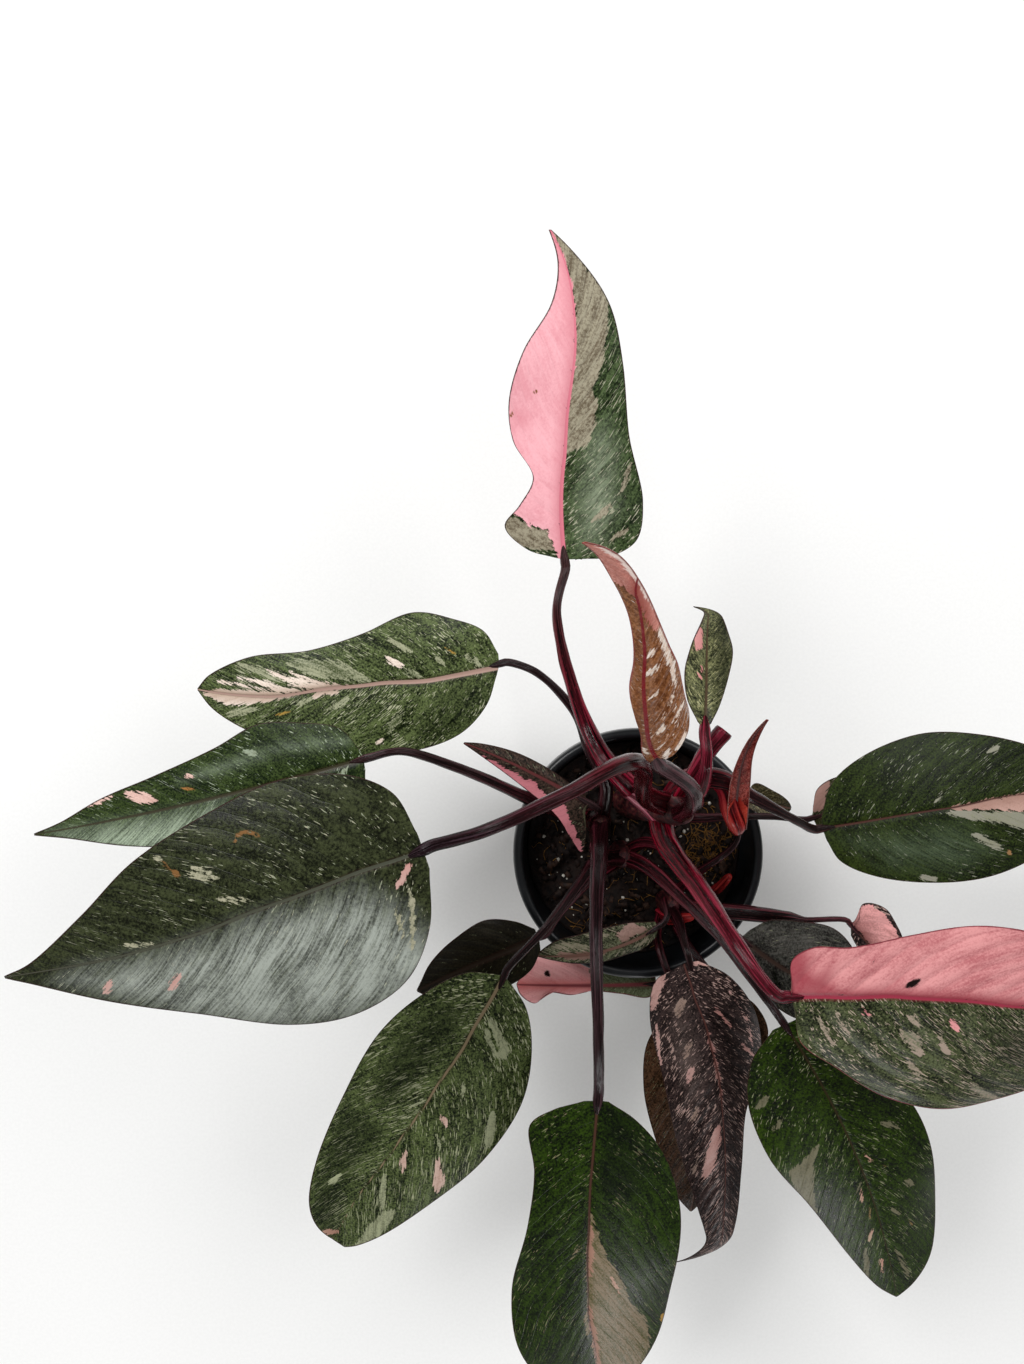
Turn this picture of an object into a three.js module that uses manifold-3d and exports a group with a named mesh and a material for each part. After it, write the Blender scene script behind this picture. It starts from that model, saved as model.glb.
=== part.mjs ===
// A pink princess philodendron in a round nursery pot, in millimetres with +Z up.
// The origin is the middle of the pot's flat base. Four short shoots stand in holes in the soil, and each
// leaf is two solids, its stalk (petiole) and its blade, which end a hair apart where they join.
import * as THREE from "three";
import Module from "manifold-3d";
import { mergeVertices } from "three/addons/utils/BufferGeometryUtils.js";

const wasm = await Module();
wasm.setup();

// Clearances and general sizes
const FIT_GAP = 0.3; // between a root, stalk or crumb of soil and what it touches
const JOINT_GAP = 0.45; // between the end of a stalk and its blade
const BLADE_THICKNESS = 0.8;
const RIB_DEPTH = 0.9; // how far the midrib stands out below the blade
const TIP_HALF_WIDTH = 0.8;
const HOOK_START = 0.85; // share of the midrib where a hooked tip begins to bend
const ROW_LAG = 1.5; // above 1, the side veins lean toward the tip
const COLUMNS = [0, 0.28, 0.64, 1]; // shares of the half blade from midrib to margin
const STALK_SIDES = 6;
const STALK_RUN_IN = 3; // straight length of stalk in line with the blade
const STALK_STEPS = 2; // rings between two points of a stalk's route
const SHOOT_SIDES = 10;
const SHOOT_STEPS = 3;

// Pot
const POT_HEIGHT = 92;
const POT_SEGMENTS = 36;
const RIM_RADIUS = 52.5;
const FLOOR_TOP = 2;
const DRAIN_RING = 24;
const DRAIN_RADIUS = 4.5;
const DRAIN_COUNT = 5;
const POT_PROFILE = [
  [0, 0], [36.4, 0], [38, 1.6], [48.3, 79], [48.9, 81.4], [51.3, 82],
  [RIM_RADIUS, 83.4], [RIM_RADIUS, 90.4], [51.2, POT_HEIGHT], [49.4, POT_HEIGHT],
  [48.4, 91], [47, 78], [36.6, FLOOR_TOP], [0, FLOOR_TOP],
];

// Soil
const SOIL_BOTTOM = 2.4;
const SOIL_FOOT_RADIUS = 36;
const SOIL_EDGE_RADIUS = 46;
const SOIL_EDGE_HEIGHT = 73.5;
const SOIL_CROWN = 2.5; // rise from the edge to the middle
const SOIL_RINGS = 5;
const SOIL_LUMP = 1.1; // height of the crumbs' relief

// Shoots: route points [x, y, z, radius]
const SHOOTS = {
  stem_main: [
    [-4, 20, 58, 6.2], [-2, 20.5, 84, 6.6], [2, 22, 106, 6.2], [6, 24, 130, 6], [9, 25, 147, 5.2],
    [9.5, 25, 150, 3.4],
  ],
  stem_left: [[-17, 13, 58, 4.8], [-16.5, 13, 82, 5.2], [-17, 13.5, 99, 4.6], [-17, 13.5, 103, 2.8]],
  stem_middle: [[-6, -2, 58, 4.6], [-6, -1.5, 80, 4.8], [-7, -1, 95, 4.4], [-7, -1, 98.5, 2.8]],
  stem_front: [[14, -22, 58, 4.2], [14, -22.5, 76, 4.6], [14, -23, 87, 4.2], [14, -23, 90, 2.8]],
};

const COLOURS = {
  pot: 0x1b1c1d,
  soil: 0x2e211a,
  stem: 0x54302c,
  burgundy: 0x4a2227,
  crimson: 0x8c2a33,
  green: 0x2c4a26,
  deep: 0x1d3320,
  pale: 0x6f8f62,
  pink: 0xcf8f90,
  bronze: 0x8e5a50,
  purple: 0x3f2a33,
  olive: 0x4a4a2a,
  sheath: 0xa5472f,
};

// Leaves. base and tip are the ends of the midrib, and face is the way the upper side looks. sway and bow
// bend the midrib to its left and up at one and two thirds; hook moves the tip. fold and curl, in
// degrees for [left, right], raise each half at the midrib and roll it toward its margin. ripple is
// [height, count, phase]. The outlines are [share of the midrib, distance from it] from base to tip.
// A stalk's route is [x, y, z, radius] from its shoot to the blade.
const LEAVES = [
  {
    name: "half_pink", colour: "pink", shoot: "stem_main", rows: 12,
    base: [-34, 116, 152], tip: [-40, 227, 170], face: [0, -0.1, 1],
    sway: [3, -21], bow: [4, 4], fold: [4, -2], curl: [6, -10], ripple: [1.5, 2, 0],
    left: [[0.01, 4], [0.04, 13], [0.12, 21], [0.18, 16], [0.26, 12], [0.38, 21], [0.5, 24], [0.64, 20],
      [0.78, 9], [0.9, 3]],
    right: [[0, 5], [0, 16], [0.05, 27], [0.17, 29], [0.39, 20], [0.6, 15], [0.78, 11], [0.93, 4]],
    stalk: [[3, 22, 108, 4.2], [-17, 42, 126, 3.8], [-29, 65, 144, 2.9], [-37, 97, 154, 2.1]],
  },
  {
    name: "upper_left", colour: "green", shoot: "stem_left", rows: 12,
    base: [-58, 79, 122], tip: [-181, 69, 104],
    sway: [5, 11], bow: [5, 4], fold: [2, 6], curl: [-14, -18], ripple: [1.5, 2, 1],
    left: [[0.01, 4], [0.05, 15], [0.14, 24], [0.32, 27.5], [0.56, 24], [0.8, 16], [0.95, 7]],
    right: [[0, 4], [0.04, 14], [0.13, 21], [0.26, 27], [0.42, 22], [0.6, 18], [0.8, 16], [0.95, 7]],
    stalk: [[-16.5, 13.5, 95, 3.2], [-15, 30, 106, 2.8], [-22, 45, 116, 2.5], [-29, 61, 123, 2.2],
      [-44, 76, 126, 1.9]],
  },
  {
    name: "middle_left", colour: "green", shoot: "stem_left", rows: 12,
    base: [-107, 44, 150], tip: [-241, 12, 118],
    sway: [2, 2], bow: [8, 6], fold: [4, 2], curl: [-16, -12], ripple: [1.2, 2, 2],
    left: [[0, 4], [0.02, 12], [0.12, 18], [0.3, 19], [0.5, 16], [0.7, 11], [0.88, 4]],
    right: [[0, 3], [0.04, 13], [0.14, 19], [0.25, 22.5], [0.38, 18], [0.58, 13], [0.75, 9], [0.9, 3]],
    stalk: [[-16.5, 13, 83, 3], [-30, 17, 93, 2.8], [-46, 25, 107, 2.6], [-76, 41, 138, 2.2], [-94, 47, 150, 1.9]],
  },
  {
    name: "large_left", colour: "deep", shoot: "stem_main", rows: 14,
    base: [-79, 23, 222], tip: [-218, -24, 188],
    sway: [6, 4], bow: [12, 8], fold: [-6, 2], curl: [-20, -14], ripple: [2, 1.5, 0],
    left: [[0, 6], [0.04, 23], [0.12, 36], [0.25, 41], [0.4, 38], [0.58, 25], [0.78, 13], [0.93, 4]],
    right: [[0, 5], [0.02, 19], [0.1, 30], [0.24, 36], [0.4, 34], [0.58, 27], [0.74, 15], [0.92, 3]],
    stalk: [[8, 25, 134, 4.2], [-6, 32, 160, 3.8], [-11, 45, 192, 3.4], [-21, 47, 214, 3],
      [-37, 40, 226, 2.7], [-60, 30, 230, 2.4]],
  },
  {
    name: "tucked", colour: "deep", shoot: "stem_left", rows: 8,
    base: [-23, 24, 112], tip: [-72, 48, 118],
    sway: [-1, -2], bow: [3, 2], fold: [-8, -10], curl: [-10, -20], ripple: [1, 2, 0],
    left: [[0, 4], [-0.12, 12], [-0.18, 20], [-0.05, 17], [0.15, 11], [0.5, 6.5], [0.8, 3]],
    right: [[0.03, 2], [0.18, 3.5], [0.4, 5], [0.6, 5], [0.88, 2.5]],
    stalk: [[-17.5, 13.5, 92, 2.6], [-20.5, 17.5, 101.5, 2.3], [-18.3, 21, 108.5, 1.9]],
  },
  {
    name: "small_dark", colour: "deep", shoot: "stem_middle", rows: 8,
    base: [-42, -32, 104], tip: [-93, -58, 90],
    sway: [-1, -2], bow: [4, 3], fold: [0, 4], curl: [-14, -16], ripple: [1, 2, 0],
    left: [[0.03, 5], [0.15, 11], [0.4, 14.5], [0.7, 11], [0.92, 5]],
    right: [[0, 4], [0.1, 10], [0.3, 15], [0.55, 13], [0.8, 8], [0.93, 3]],
    stalk: [[-6, -2, 86, 2.8], [-20, -9, 98, 2.3], [-33, -21, 106, 1.9]],
  },
  {
    name: "lower_left", colour: "green", shoot: "stem_middle", rows: 12,
    base: [-56, -41, 128], tip: [-122, -160, 100],
    sway: [6, 4], bow: [10, 6], fold: [-4, 2], curl: [-16, -10], ripple: [1.6, 2, 1],
    left: [[0.01, 4], [0.05, 13], [0.15, 22], [0.32, 29], [0.5, 27], [0.7, 20], [0.9, 10]],
    right: [[0.01, 5], [0.04, 14], [0.14, 25], [0.32, 35], [0.55, 35], [0.78, 30], [0.94, 21]],
    stalk: [[-7, -1, 94, 3.4], [-19, 0, 110, 2.8], [-28, -8, 122, 2.2], [-40, -21, 132, 1.9]],
  },
  {
    name: "front", colour: "green", shoot: "stem_left", rows: 14,
    base: [-22, -80, 150], tip: [-24, -218, 110],
    sway: [-3, -6], bow: [12, 8], fold: [0, -2], curl: [-18, -16], ripple: [1.6, 2, 2],
    left: [[0, 4], [0.05, 15], [0.15, 27], [0.33, 36], [0.55, 35], [0.75, 31], [0.9, 19], [0.98, 8]],
    right: [[0, 5], [0.03, 16], [0.08, 24], [0.2, 21], [0.35, 22], [0.6, 27], [0.8, 25], [0.95, 15]],
    stalk: [[-17, 13.5, 100, 3.8], [-20, 4, 130, 3.2], [-23, -17, 154, 2.7], [-23, -46, 163, 2.4]],
  },
  {
    name: "bronze", colour: "purple", shoot: "stem_front", rows: 14,
    base: [18, -40, 112], tip: [34, -181, 84],
    sway: [6, 8], bow: [10, 8], fold: [-10, -10], curl: [-34, -26], ripple: [1.6, 2.5, 0],
    hook: [-17, 3, -4],
    left: [[0, 4], [0.06, 16], [0.18, 26], [0.3, 27], [0.39, 20], [0.46, 13], [0.64, 9], [0.8, 7],
      [0.9, 2.5]],
    right: [[0.01, 5], [0.05, 16], [0.17, 22], [0.35, 21], [0.55, 18], [0.74, 11], [0.86, 4], [0.94, 2]],
    stalk: [[14, -23, 87, 2.6], [16, -28, 100, 2.2], [16.5, -34, 110, 1.9]],
  },
  {
    name: "under_bronze", colour: "olive", shoot: "stem_front", rows: 10,
    base: [35, -57, 92], tip: [25, -159, 74],
    sway: [0, 0], bow: [6, 4], fold: [0, 0], curl: [-16, -16], ripple: [1, 2, 0],
    left: [[0, 5], [0.05, 15], [0.16, 22], [0.32, 18], [0.6, 13], [0.88, 8]],
    right: [[0, 5], [0.08, 17], [0.25, 28], [0.45, 28], [0.7, 19], [0.92, 8]],
    stalk: [[14, -22.5, 78, 2.4], [18, -34, 89, 2], [27, -46, 97, 1.8]],
  },
  {
    name: "rim_striped", colour: "pale", shoot: "stem_front", rows: 10,
    base: [7, -29, 99], tip: [-43, -41, 98],
    sway: [6, 5], bow: [3, 2], fold: [-20, 8], curl: [-10, -14], ripple: [0.8, 3, 0],
    left: [[0.02, 4], [0.17, 6], [0.35, 5], [0.56, 5], [0.8, 3]],
    right: [[0.01, 3], [0.13, 6], [0.3, 9], [0.6, 9], [0.78, 7.5], [0.9, 4.5]],
    stalk: [[14, -22.5, 78, 2.2], [11, -21, 90, 1.9], [11, -25, 98, 1.6]],
  },
  {
    name: "rim_pink", colour: "pink", shoot: "stem_front", rows: 10,
    base: [9, -58, 80], tip: [-51, -63, 64],
    sway: [0, 0], bow: [3, 2], fold: [-6, 0], curl: [-14, -10], ripple: [1.2, 3, 0],
    left: [[0, 4], [0.07, 6], [0.25, 4], [0.46, 2.5], [0.6, 4.5], [0.76, 3.5], [0.9, 9.5], [0.98, 5]],
    right: [[0, 3], [0.2, 4], [0.4, 7], [0.6, 12], [0.75, 14], [0.9, 10]],
    stalk: [[14, -22.5, 74, 2.2], [8, -35, 90, 1.9], [12, -50, 97, 1.7], [14, -57, 90, 1.6]],
  },
  {
    name: "right_pink", colour: "pink", shoot: "stem_main", rows: 12,
    base: [38, -31, 186], tip: [156, -42, 168],
    sway: [2, -4], bow: [8, 6], fold: [14, -14], curl: [-6, -14], ripple: [2, 2, 0],
    left: [[0, 4], [-0.01, 13], [0.04, 18], [0.13, 19], [0.3, 25], [0.52, 31], [0.7, 28], [0.9, 12]],
    right: [[0.02, 5], [0.05, 17], [0.16, 26], [0.35, 38], [0.65, 39], [0.85, 35], [0.97, 14]],
    stalk: [[5, 23, 118, 4.6], [5, 12, 134, 4.2], [13, -1, 160, 3.8], [22, -16, 183, 3.2],
      [30, -27, 189, 2.6]],
  },
  {
    name: "lower_right", colour: "green", shoot: "stem_middle", rows: 12,
    base: [48, -55, 142], tip: [103, -177, 106],
    sway: [8, 6], bow: [12, 6], fold: [-4, -4], curl: [-16, -16], ripple: [1.6, 2, 1],
    left: [[0, 6], [0.1, 17], [0.3, 26], [0.45, 30], [0.68, 27], [0.85, 21], [0.96, 9]],
    right: [[0, 5], [0.06, 18], [0.18, 28], [0.35, 31], [0.55, 24], [0.78, 15], [0.93, 7]],
    stalk: [[-7, -1, 91, 3.2], [2, -3, 106, 2.8], [13, -12, 123, 2.4], [25, -24, 137, 2.1],
      [37, -40, 147, 1.9]],
  },
  {
    name: "right", colour: "green", shoot: "stem_main", rows: 12,
    base: [68, 15, 122], tip: [190, 24, 104],
    sway: [3, 6], bow: [8, 6], fold: [0, 0], curl: [-12, -12], ripple: [1.4, 2, 0],
    left: [[0, 5], [0.04, 17], [0.15, 26], [0.35, 31], [0.55, 28], [0.8, 18], [0.95, 6]],
    right: [[0.01, 5], [0.05, 14], [0.2, 24], [0.42, 29], [0.65, 26], [0.88, 12]],
    stalk: [[6, 24, 124, 4.2], [13, 35, 137, 4.2], [24, 36, 143, 3.8], [37, 29, 141, 2.8],
      [52, 21, 133, 2.1]],
  },
  {
    name: "right_under", colour: "pale", shoot: "stem_main", rows: 8,
    base: [69, 17, 106], tip: [109, 21, 98],
    sway: [2, 2], bow: [3, 2], fold: [20, 0], curl: [-10, -8], ripple: [1, 2, 0],
    left: [[0, 5], [0.04, 12], [0.16, 15], [0.47, 14], [0.8, 7]],
    right: [[0.03, 4], [0.2, 10], [0.45, 12], [0.8, 8]],
    stalk: [[-1, 21, 92, 2.8], [17, 17, 104, 2.2], [34, 18, 111, 1.8], [52, 18, 110, 1.6]],
  },
  {
    name: "dark_right", colour: "deep", shoot: "stem_middle", rows: 8,
    base: [37, -29, 118], tip: [92, -61, 104],
    sway: [-3, -3], bow: [5, 3], fold: [0, 0], curl: [-12, -16], ripple: [1, 2, 0],
    left: [[0.02, 5], [0.1, 13], [0.3, 20], [0.52, 24], [0.75, 18], [0.92, 8]],
    right: [[0.05, 5], [0.2, 11], [0.45, 15], [0.72, 14], [0.92, 7]],
    stalk: [[-6, -1, 84, 2.8], [3, 6, 100, 2.4], [14, 2, 115, 2], [25, -12, 121, 1.7]],
  },
  {
    name: "curled_right", colour: "bronze", shoot: "stem_front", rows: 8,
    base: [85, -27, 104], tip: [111, -55, 92],
    sway: [0, 0], bow: [2, 2], fold: [14, -20], curl: [-14, -10], ripple: [1, 3, 0],
    left: [[0, 4], [-0.1, 9], [0.02, 14], [0.2, 15], [0.4, 13], [0.8, 8]],
    right: [[0.1, 3], [0.5, 6], [0.85, 5]],
    stalk: [[14, -23, 82, 3.2], [30, -23, 94, 3.4], [46, -23, 101, 3.4], [60, -24, 104, 3],
      [66, -24.5, 105, 1.4]],
  },
  {
    name: "olive_small", colour: "olive", shoot: "stem_front", rows: 6,
    base: [42, 24, 104], tip: [62, 20, 99],
    sway: [0, 0], bow: [2, 2], fold: [20, 20], curl: [0, 0], ripple: [0.6, 2, 0],
    left: [[0, 3], [0.08, 8], [0.5, 6], [0.85, 3]],
    right: [[0.05, 3], [0.4, 5], [0.85, 3]],
    stalk: [[14, -22, 78, 2], [24, -9, 90, 1.8], [39, 7, 101, 1.5]],
  },
  {
    name: "back_small", colour: "bronze", shoot: "stem_main", rows: 10,
    base: [15, 56, 160], tip: [23, 102, 128], face: [0.1, 0.3, 1],
    sway: [1, 3], bow: [5, 5], fold: [20, 20], curl: [-8, -8], ripple: [1, 2, 0], hook: [-6, -1, 0],
    left: [[0.02, 3], [0.14, 8], [0.32, 9], [0.52, 7], [0.77, 3]],
    right: [[0.03, 2], [0.16, 5], [0.37, 8], [0.6, 9], [0.82, 6]],
    stalk: [[7, 24, 134, 3.6], [15, 34, 151, 3.2], [15, 46, 163, 2.6]],
  },
  {
    name: "unfurling", colour: "bronze", shoot: "stem_main", rows: 14,
    base: [-8, 47, 206], tip: [-37, 103, 292], face: [0.2, -1, 1],
    sway: [4, -20], bow: [11, -14], fold: [-10, -10], curl: [-45, -45], ripple: [0.6, 4, 0],
    left: [[0, 2.5], [0.1, 3.5], [0.21, 3], [0.29, 4.5], [0.38, 6], [0.5, 4], [0.64, 3.5], [0.8, 4.5],
      [0.93, 2.5]],
    right: [[0, 9], [0.03, 14], [0.1, 17], [0.28, 13.5], [0.41, 10.5], [0.51, 7], [0.61, 4.5], [0.75, 2.5],
      [0.9, 1.6]],
    stalk: [[9, 25, 149, 4.2], [9, 30, 170, 3.8], [5, 38, 188, 3.2]],
  },
  {
    name: "cataphyll", colour: "sheath", shoot: "stem_main", rows: 8,
    base: [31, 19, 136.5], tip: [34, 59, 172],
    sway: [3, 7], bow: [0, -1], fold: [15, 15], curl: [60, 60], ripple: [0.3, 2, 0],
    left: [[0, 5], [0.2, 6.5], [0.45, 6], [0.65, 3.5], [0.85, 1.8]],
    right: [[0, 5], [0.2, 6.5], [0.45, 6], [0.65, 3.5], [0.85, 1.8]],
  },
];

const radians = THREE.MathUtils.degToRad;
const vector = (point) => new THREE.Vector3(...point);

function smoothCurve(points) {
  return new THREE.CatmullRomCurve3(points, false, "centripetal");
}

function geometryOf(points, triangles) {
  const geometry = new THREE.BufferGeometry();
  geometry.setAttribute("position", new THREE.Float32BufferAttribute(points.flatMap((p) => [p.x, p.y, p.z]), 3));
  geometry.setIndex(triangles.flat());
  return geometry;
}

function solidOf(geometry) {
  const plain = geometry.clone().deleteAttribute("normal").deleteAttribute("uv");
  const merged = mergeVertices(plain, 1e-4);
  return new wasm.Manifold(
    new wasm.Mesh({
      numProp: 3,
      vertProperties: merged.attributes.position.array,
      triVerts: new Uint32Array(merged.index.array),
    }),
  );
}

function geometryFrom(solid) {
  const mesh = solid.getMesh();
  const geometry = new THREE.BufferGeometry();
  geometry.setAttribute("position", new THREE.BufferAttribute(new Float32Array(mesh.vertProperties), 3));
  geometry.setIndex(new THREE.BufferAttribute(new Uint32Array(mesh.triVerts), 1));
  return geometry;
}

// A closed round bar along a route of [x, y, z, radius], grown on all sides by extra.
function bar(route, sides, stepsPerSpan, extra = 0) {
  const curve = smoothCurve(route.map(([x, y, z]) => new THREE.Vector3(x, y, z)));
  const spans = route.length - 1;
  const steps = spans * stepsPerSpan;
  const chord = curve.getPoint(1).sub(curve.getPoint(0));
  const across = new THREE.Vector3(-chord.y, chord.x, 0).normalize();
  const points = [];
  const triangles = [];
  for (let i = 0; i <= steps; i++) {
    const t = i / steps;
    const centre = curve.getPoint(t);
    const tangent = curve.getTangent(t);
    const side = across.clone().addScaledVector(tangent, -across.dot(tangent)).normalize();
    const up = tangent.clone().cross(side);
    const span = Math.min(Math.floor(t * spans), spans - 1);
    const radius = THREE.MathUtils.lerp(route[span][3], route[span + 1][3], t * spans - span) + extra;
    if (extra && (i === 0 || i === steps)) centre.addScaledVector(tangent, i === 0 ? -extra : extra);
    for (let j = 0; j < sides; j++) {
      const angle = (2 * Math.PI * j) / sides;
      points.push(
        centre.clone()
          .addScaledVector(side, radius * Math.cos(angle))
          .addScaledVector(up, radius * Math.sin(angle)),
      );
    }
    if (i === 0 || i === steps) points.push(centre);
  }
  const ring = (i, j) => i * sides + (j % sides) + (i > 0 ? 1 : 0);
  const firstCentre = sides;
  const lastCentre = points.length - 1;
  for (let j = 0; j < sides; j++) {
    triangles.push([firstCentre, ring(0, j + 1), ring(0, j)]);
    triangles.push([lastCentre, ring(steps, j), ring(steps, j + 1)]);
    for (let i = 0; i < steps; i++) {
      triangles.push([ring(i, j), ring(i, j + 1), ring(i + 1, j + 1)]);
      triangles.push([ring(i, j), ring(i + 1, j + 1), ring(i + 1, j)]);
    }
  }
  return geometryOf(points, triangles);
}

// The curved surface of one blade: point(share, across) with across positive on the left.
class BladeSurface {
  constructor(leaf) {
    this.base = vector(leaf.base);
    this.tip = vector(leaf.tip);
    const chord = this.tip.clone().sub(this.base);
    this.length = chord.length();
    const ahead = chord.clone().normalize();
    const face = vector(leaf.face ?? [0, 0, 1]);
    const up = face.addScaledVector(ahead, -face.dot(ahead)).normalize();
    this.side = up.clone().cross(ahead);
    const control = (share, i) =>
      this.base.clone()
        .addScaledVector(chord, share)
        .addScaledVector(this.side, leaf.sway[i])
        .addScaledVector(up, leaf.bow[i]);
    this.midrib = new THREE.CubicBezierCurve3(this.base, control(1 / 3, 0), control(2 / 3, 1), this.tip);
    this.hook = vector(leaf.hook ?? [0, 0, 0]);
    this.fold = leaf.fold.map(radians);
    this.widest = [leaf.left, leaf.right].map((outline) => Math.max(...outline.map((p) => p[1])));
    this.curl = leaf.curl.map((degrees, i) => radians(degrees) / this.widest[i]);
    this.ripple = leaf.ripple;
  }

  tangent(share) {
    const inside = THREE.MathUtils.clamp(share, 0, 1);
    const late = Math.max(0, inside - HOOK_START) / (1 - HOOK_START);
    return this.midrib.getTangent(inside)
      .multiplyScalar(this.length)
      .addScaledVector(this.hook, (2 * late) / (1 - HOOK_START))
      .normalize();
  }

  spine(share) {
    if (share < 0) return this.base.clone().addScaledVector(this.tangent(0), share * this.length);
    const late = Math.max(0, Math.min(share, 1) - HOOK_START) / (1 - HOOK_START);
    const over = Math.max(0, share - 1) * this.length;
    return this.midrib.getPoint(Math.min(share, 1))
      .addScaledVector(this.hook, late * late)
      .addScaledVector(this.tangent(1), over);
  }

  point(share, across) {
    const half = across >= 0 ? 0 : 1;
    const reach = Math.abs(across);
    const fold = this.fold[half];
    const curl = this.curl[half];
    const [height, count, phase] = this.ripple;
    const turned = fold + curl * reach;
    const outward = curl ? (Math.sin(turned) - Math.sin(fold)) / curl : reach * Math.cos(fold);
    const bend = curl ? (Math.cos(fold) - Math.cos(turned)) / curl : reach * Math.sin(fold);
    const wave = Math.sin(2 * Math.PI * count * share + phase + 1.7 * half);
    const rise = bend + height * (reach / this.widest[half]) ** 2 * wave;
    const up = this.tangent(share).cross(this.side).normalize();
    return this.spine(share)
      .addScaledVector(this.side, half ? -outward : outward)
      .addScaledVector(up, rise);
  }
}

// A blade as a thin closed sheet, with rows that run from the midrib to the margin like the side veins.
function blade(leaf) {
  const surface = new BladeSurface(leaf);
  const margins = [leaf.left, leaf.right].map((outline) => {
    const start = outline.map(([share, width]) => new THREE.Vector3(share * surface.length, width, 0));
    return smoothCurve([...start, new THREE.Vector3(surface.length, TIP_HALF_WIDTH, 0)]);
  });
  const offsets = [...COLUMNS.slice(1).reverse(), ...COLUMNS];
  const top = [];
  for (let i = 0; i <= leaf.rows; i++) {
    const u = i / leaf.rows;
    const midrib = u ** ROW_LAG;
    const row = offsets.map((offset, j) => {
      const half = j < COLUMNS.length - 1 ? 0 : 1;
      const margin = margins[half].getPointAt(u);
      const share = THREE.MathUtils.lerp(midrib, margin.x / surface.length, offset);
      return surface.point(share, (half ? -1 : 1) * margin.y * offset);
    });
    top.push(row);
  }
  return sheet(top, (i, j) => {
    const onMidrib = offsets[j] === 0 ? 1 : 0;
    return BLADE_THICKNESS + RIB_DEPTH * onMidrib * (1 - i / leaf.rows);
  });
}

// A closed sheet below a grid of points; both faces are split along the same diagonals.
function sheet(top, thicknessAt) {
  const rows = top.length;
  const columns = top[0].length;
  const at = (i, j) => top[THREE.MathUtils.clamp(i, 0, rows - 1)][THREE.MathUtils.clamp(j, 0, columns - 1)];
  const bottom = top.map((row, i) => row.map((point, j) => {
    const ahead = at(i + 1, j).clone().sub(at(i - 1, j));
    const right = at(i, j + 1).clone().sub(at(i, j - 1));
    const up = right.cross(ahead).normalize();
    return point.clone().addScaledVector(up, -thicknessAt(i, j));
  }));
  const below = rows * columns;
  const index = (i, j) => i * columns + j;
  const triangles = [];
  for (let i = 0; i < rows - 1; i++) {
    for (let j = 0; j < columns - 1; j++) {
      const [a, b, c, d] = [index(i, j), index(i, j + 1), index(i + 1, j + 1), index(i + 1, j)];
      triangles.push([a, b, c], [a, c, d]);
      triangles.push([a + below, c + below, b + below], [a + below, d + below, c + below]);
    }
  }
  const edge = [];
  for (let j = 0; j < columns - 1; j++) edge.push(index(0, j));
  for (let i = 0; i < rows - 1; i++) edge.push(index(i, columns - 1));
  for (let j = columns - 1; j > 0; j--) edge.push(index(rows - 1, j));
  for (let i = rows - 1; i > 0; i--) edge.push(index(i, 0));
  edge.forEach((p, k) => {
    const q = edge[(k + 1) % edge.length];
    triangles.push([q, p, p + below], [q, p + below, q + below]);
  });
  return geometryOf([...top.flat(), ...bottom.flat()], triangles);
}

// The stalk's route with its last straight run in line with the blade.
function stalkRoute(leaf) {
  const surface = new BladeSurface(leaf);
  const ahead = surface.tangent(0);
  const radius = leaf.stalk.at(-1)[3];
  const behind = (distance) => surface.base.clone().addScaledVector(ahead, -distance).toArray();
  return [...leaf.stalk, [...behind(STALK_RUN_IN), radius], [...behind(JOINT_GAP), radius]];
}

function lathe(profile, segments) {
  const points = profile.map(([r, z]) => new THREE.Vector2(r, z));
  return new THREE.LatheGeometry(points, segments).rotateX(Math.PI / 2);
}

function pot() {
  let solid = solidOf(lathe(POT_PROFILE, POT_SEGMENTS));
  for (let i = 0; i < DRAIN_COUNT; i++) {
    const angle = (2 * Math.PI * i) / DRAIN_COUNT;
    const hole = new THREE.CylinderGeometry(DRAIN_RADIUS, DRAIN_RADIUS, 4 * FLOOR_TOP, 16)
      .rotateX(Math.PI / 2)
      .translate(DRAIN_RING * Math.cos(angle), DRAIN_RING * Math.sin(angle), 0);
    solid = solid.subtract(solidOf(hole));
  }
  return geometryFrom(solid);
}

// The soil's relief at a place on its top: a few crossed waves that die out at the edge.
function crumbs(x, y) {
  const fade = 1 - Math.hypot(x, y) / SOIL_EDGE_RADIUS;
  const waves = Math.sin(x * 0.41 + 1) * Math.cos(y * 0.37) + Math.sin(x * 0.23 - y * 0.31 + 2);
  return SOIL_LUMP * waves * Math.min(1, 3 * fade);
}

function soil() {
  const profile = [[0, SOIL_BOTTOM], [SOIL_FOOT_RADIUS, SOIL_BOTTOM]];
  for (let i = SOIL_RINGS; i >= 0; i--) {
    const share = i / SOIL_RINGS;
    profile.push([SOIL_EDGE_RADIUS * share, SOIL_EDGE_HEIGHT + SOIL_CROWN * (1 - share ** 2)]);
  }
  const geometry = lathe(profile, POT_SEGMENTS);
  const position = geometry.attributes.position;
  for (let i = 0; i < position.count; i++) {
    if (position.getZ(i) < SOIL_EDGE_HEIGHT / 2) continue;
    position.setZ(i, position.getZ(i) + crumbs(position.getX(i), position.getY(i)));
  }
  let solid = solidOf(geometry);
  for (const route of Object.values(SHOOTS)) {
    solid = solid.subtract(solidOf(bar(route, SHOOT_SIDES, SHOOT_STEPS, FIT_GAP)));
  }
  return geometryFrom(solid);
}

const shootSolids = {};
for (const [name, route] of Object.entries(SHOOTS)) {
  shootSolids[name] = solidOf(bar(route, SHOOT_SIDES, SHOOT_STEPS, FIT_GAP));
}

const plant = new THREE.Group();
plant.name = "pink_princess_philodendron";

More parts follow.
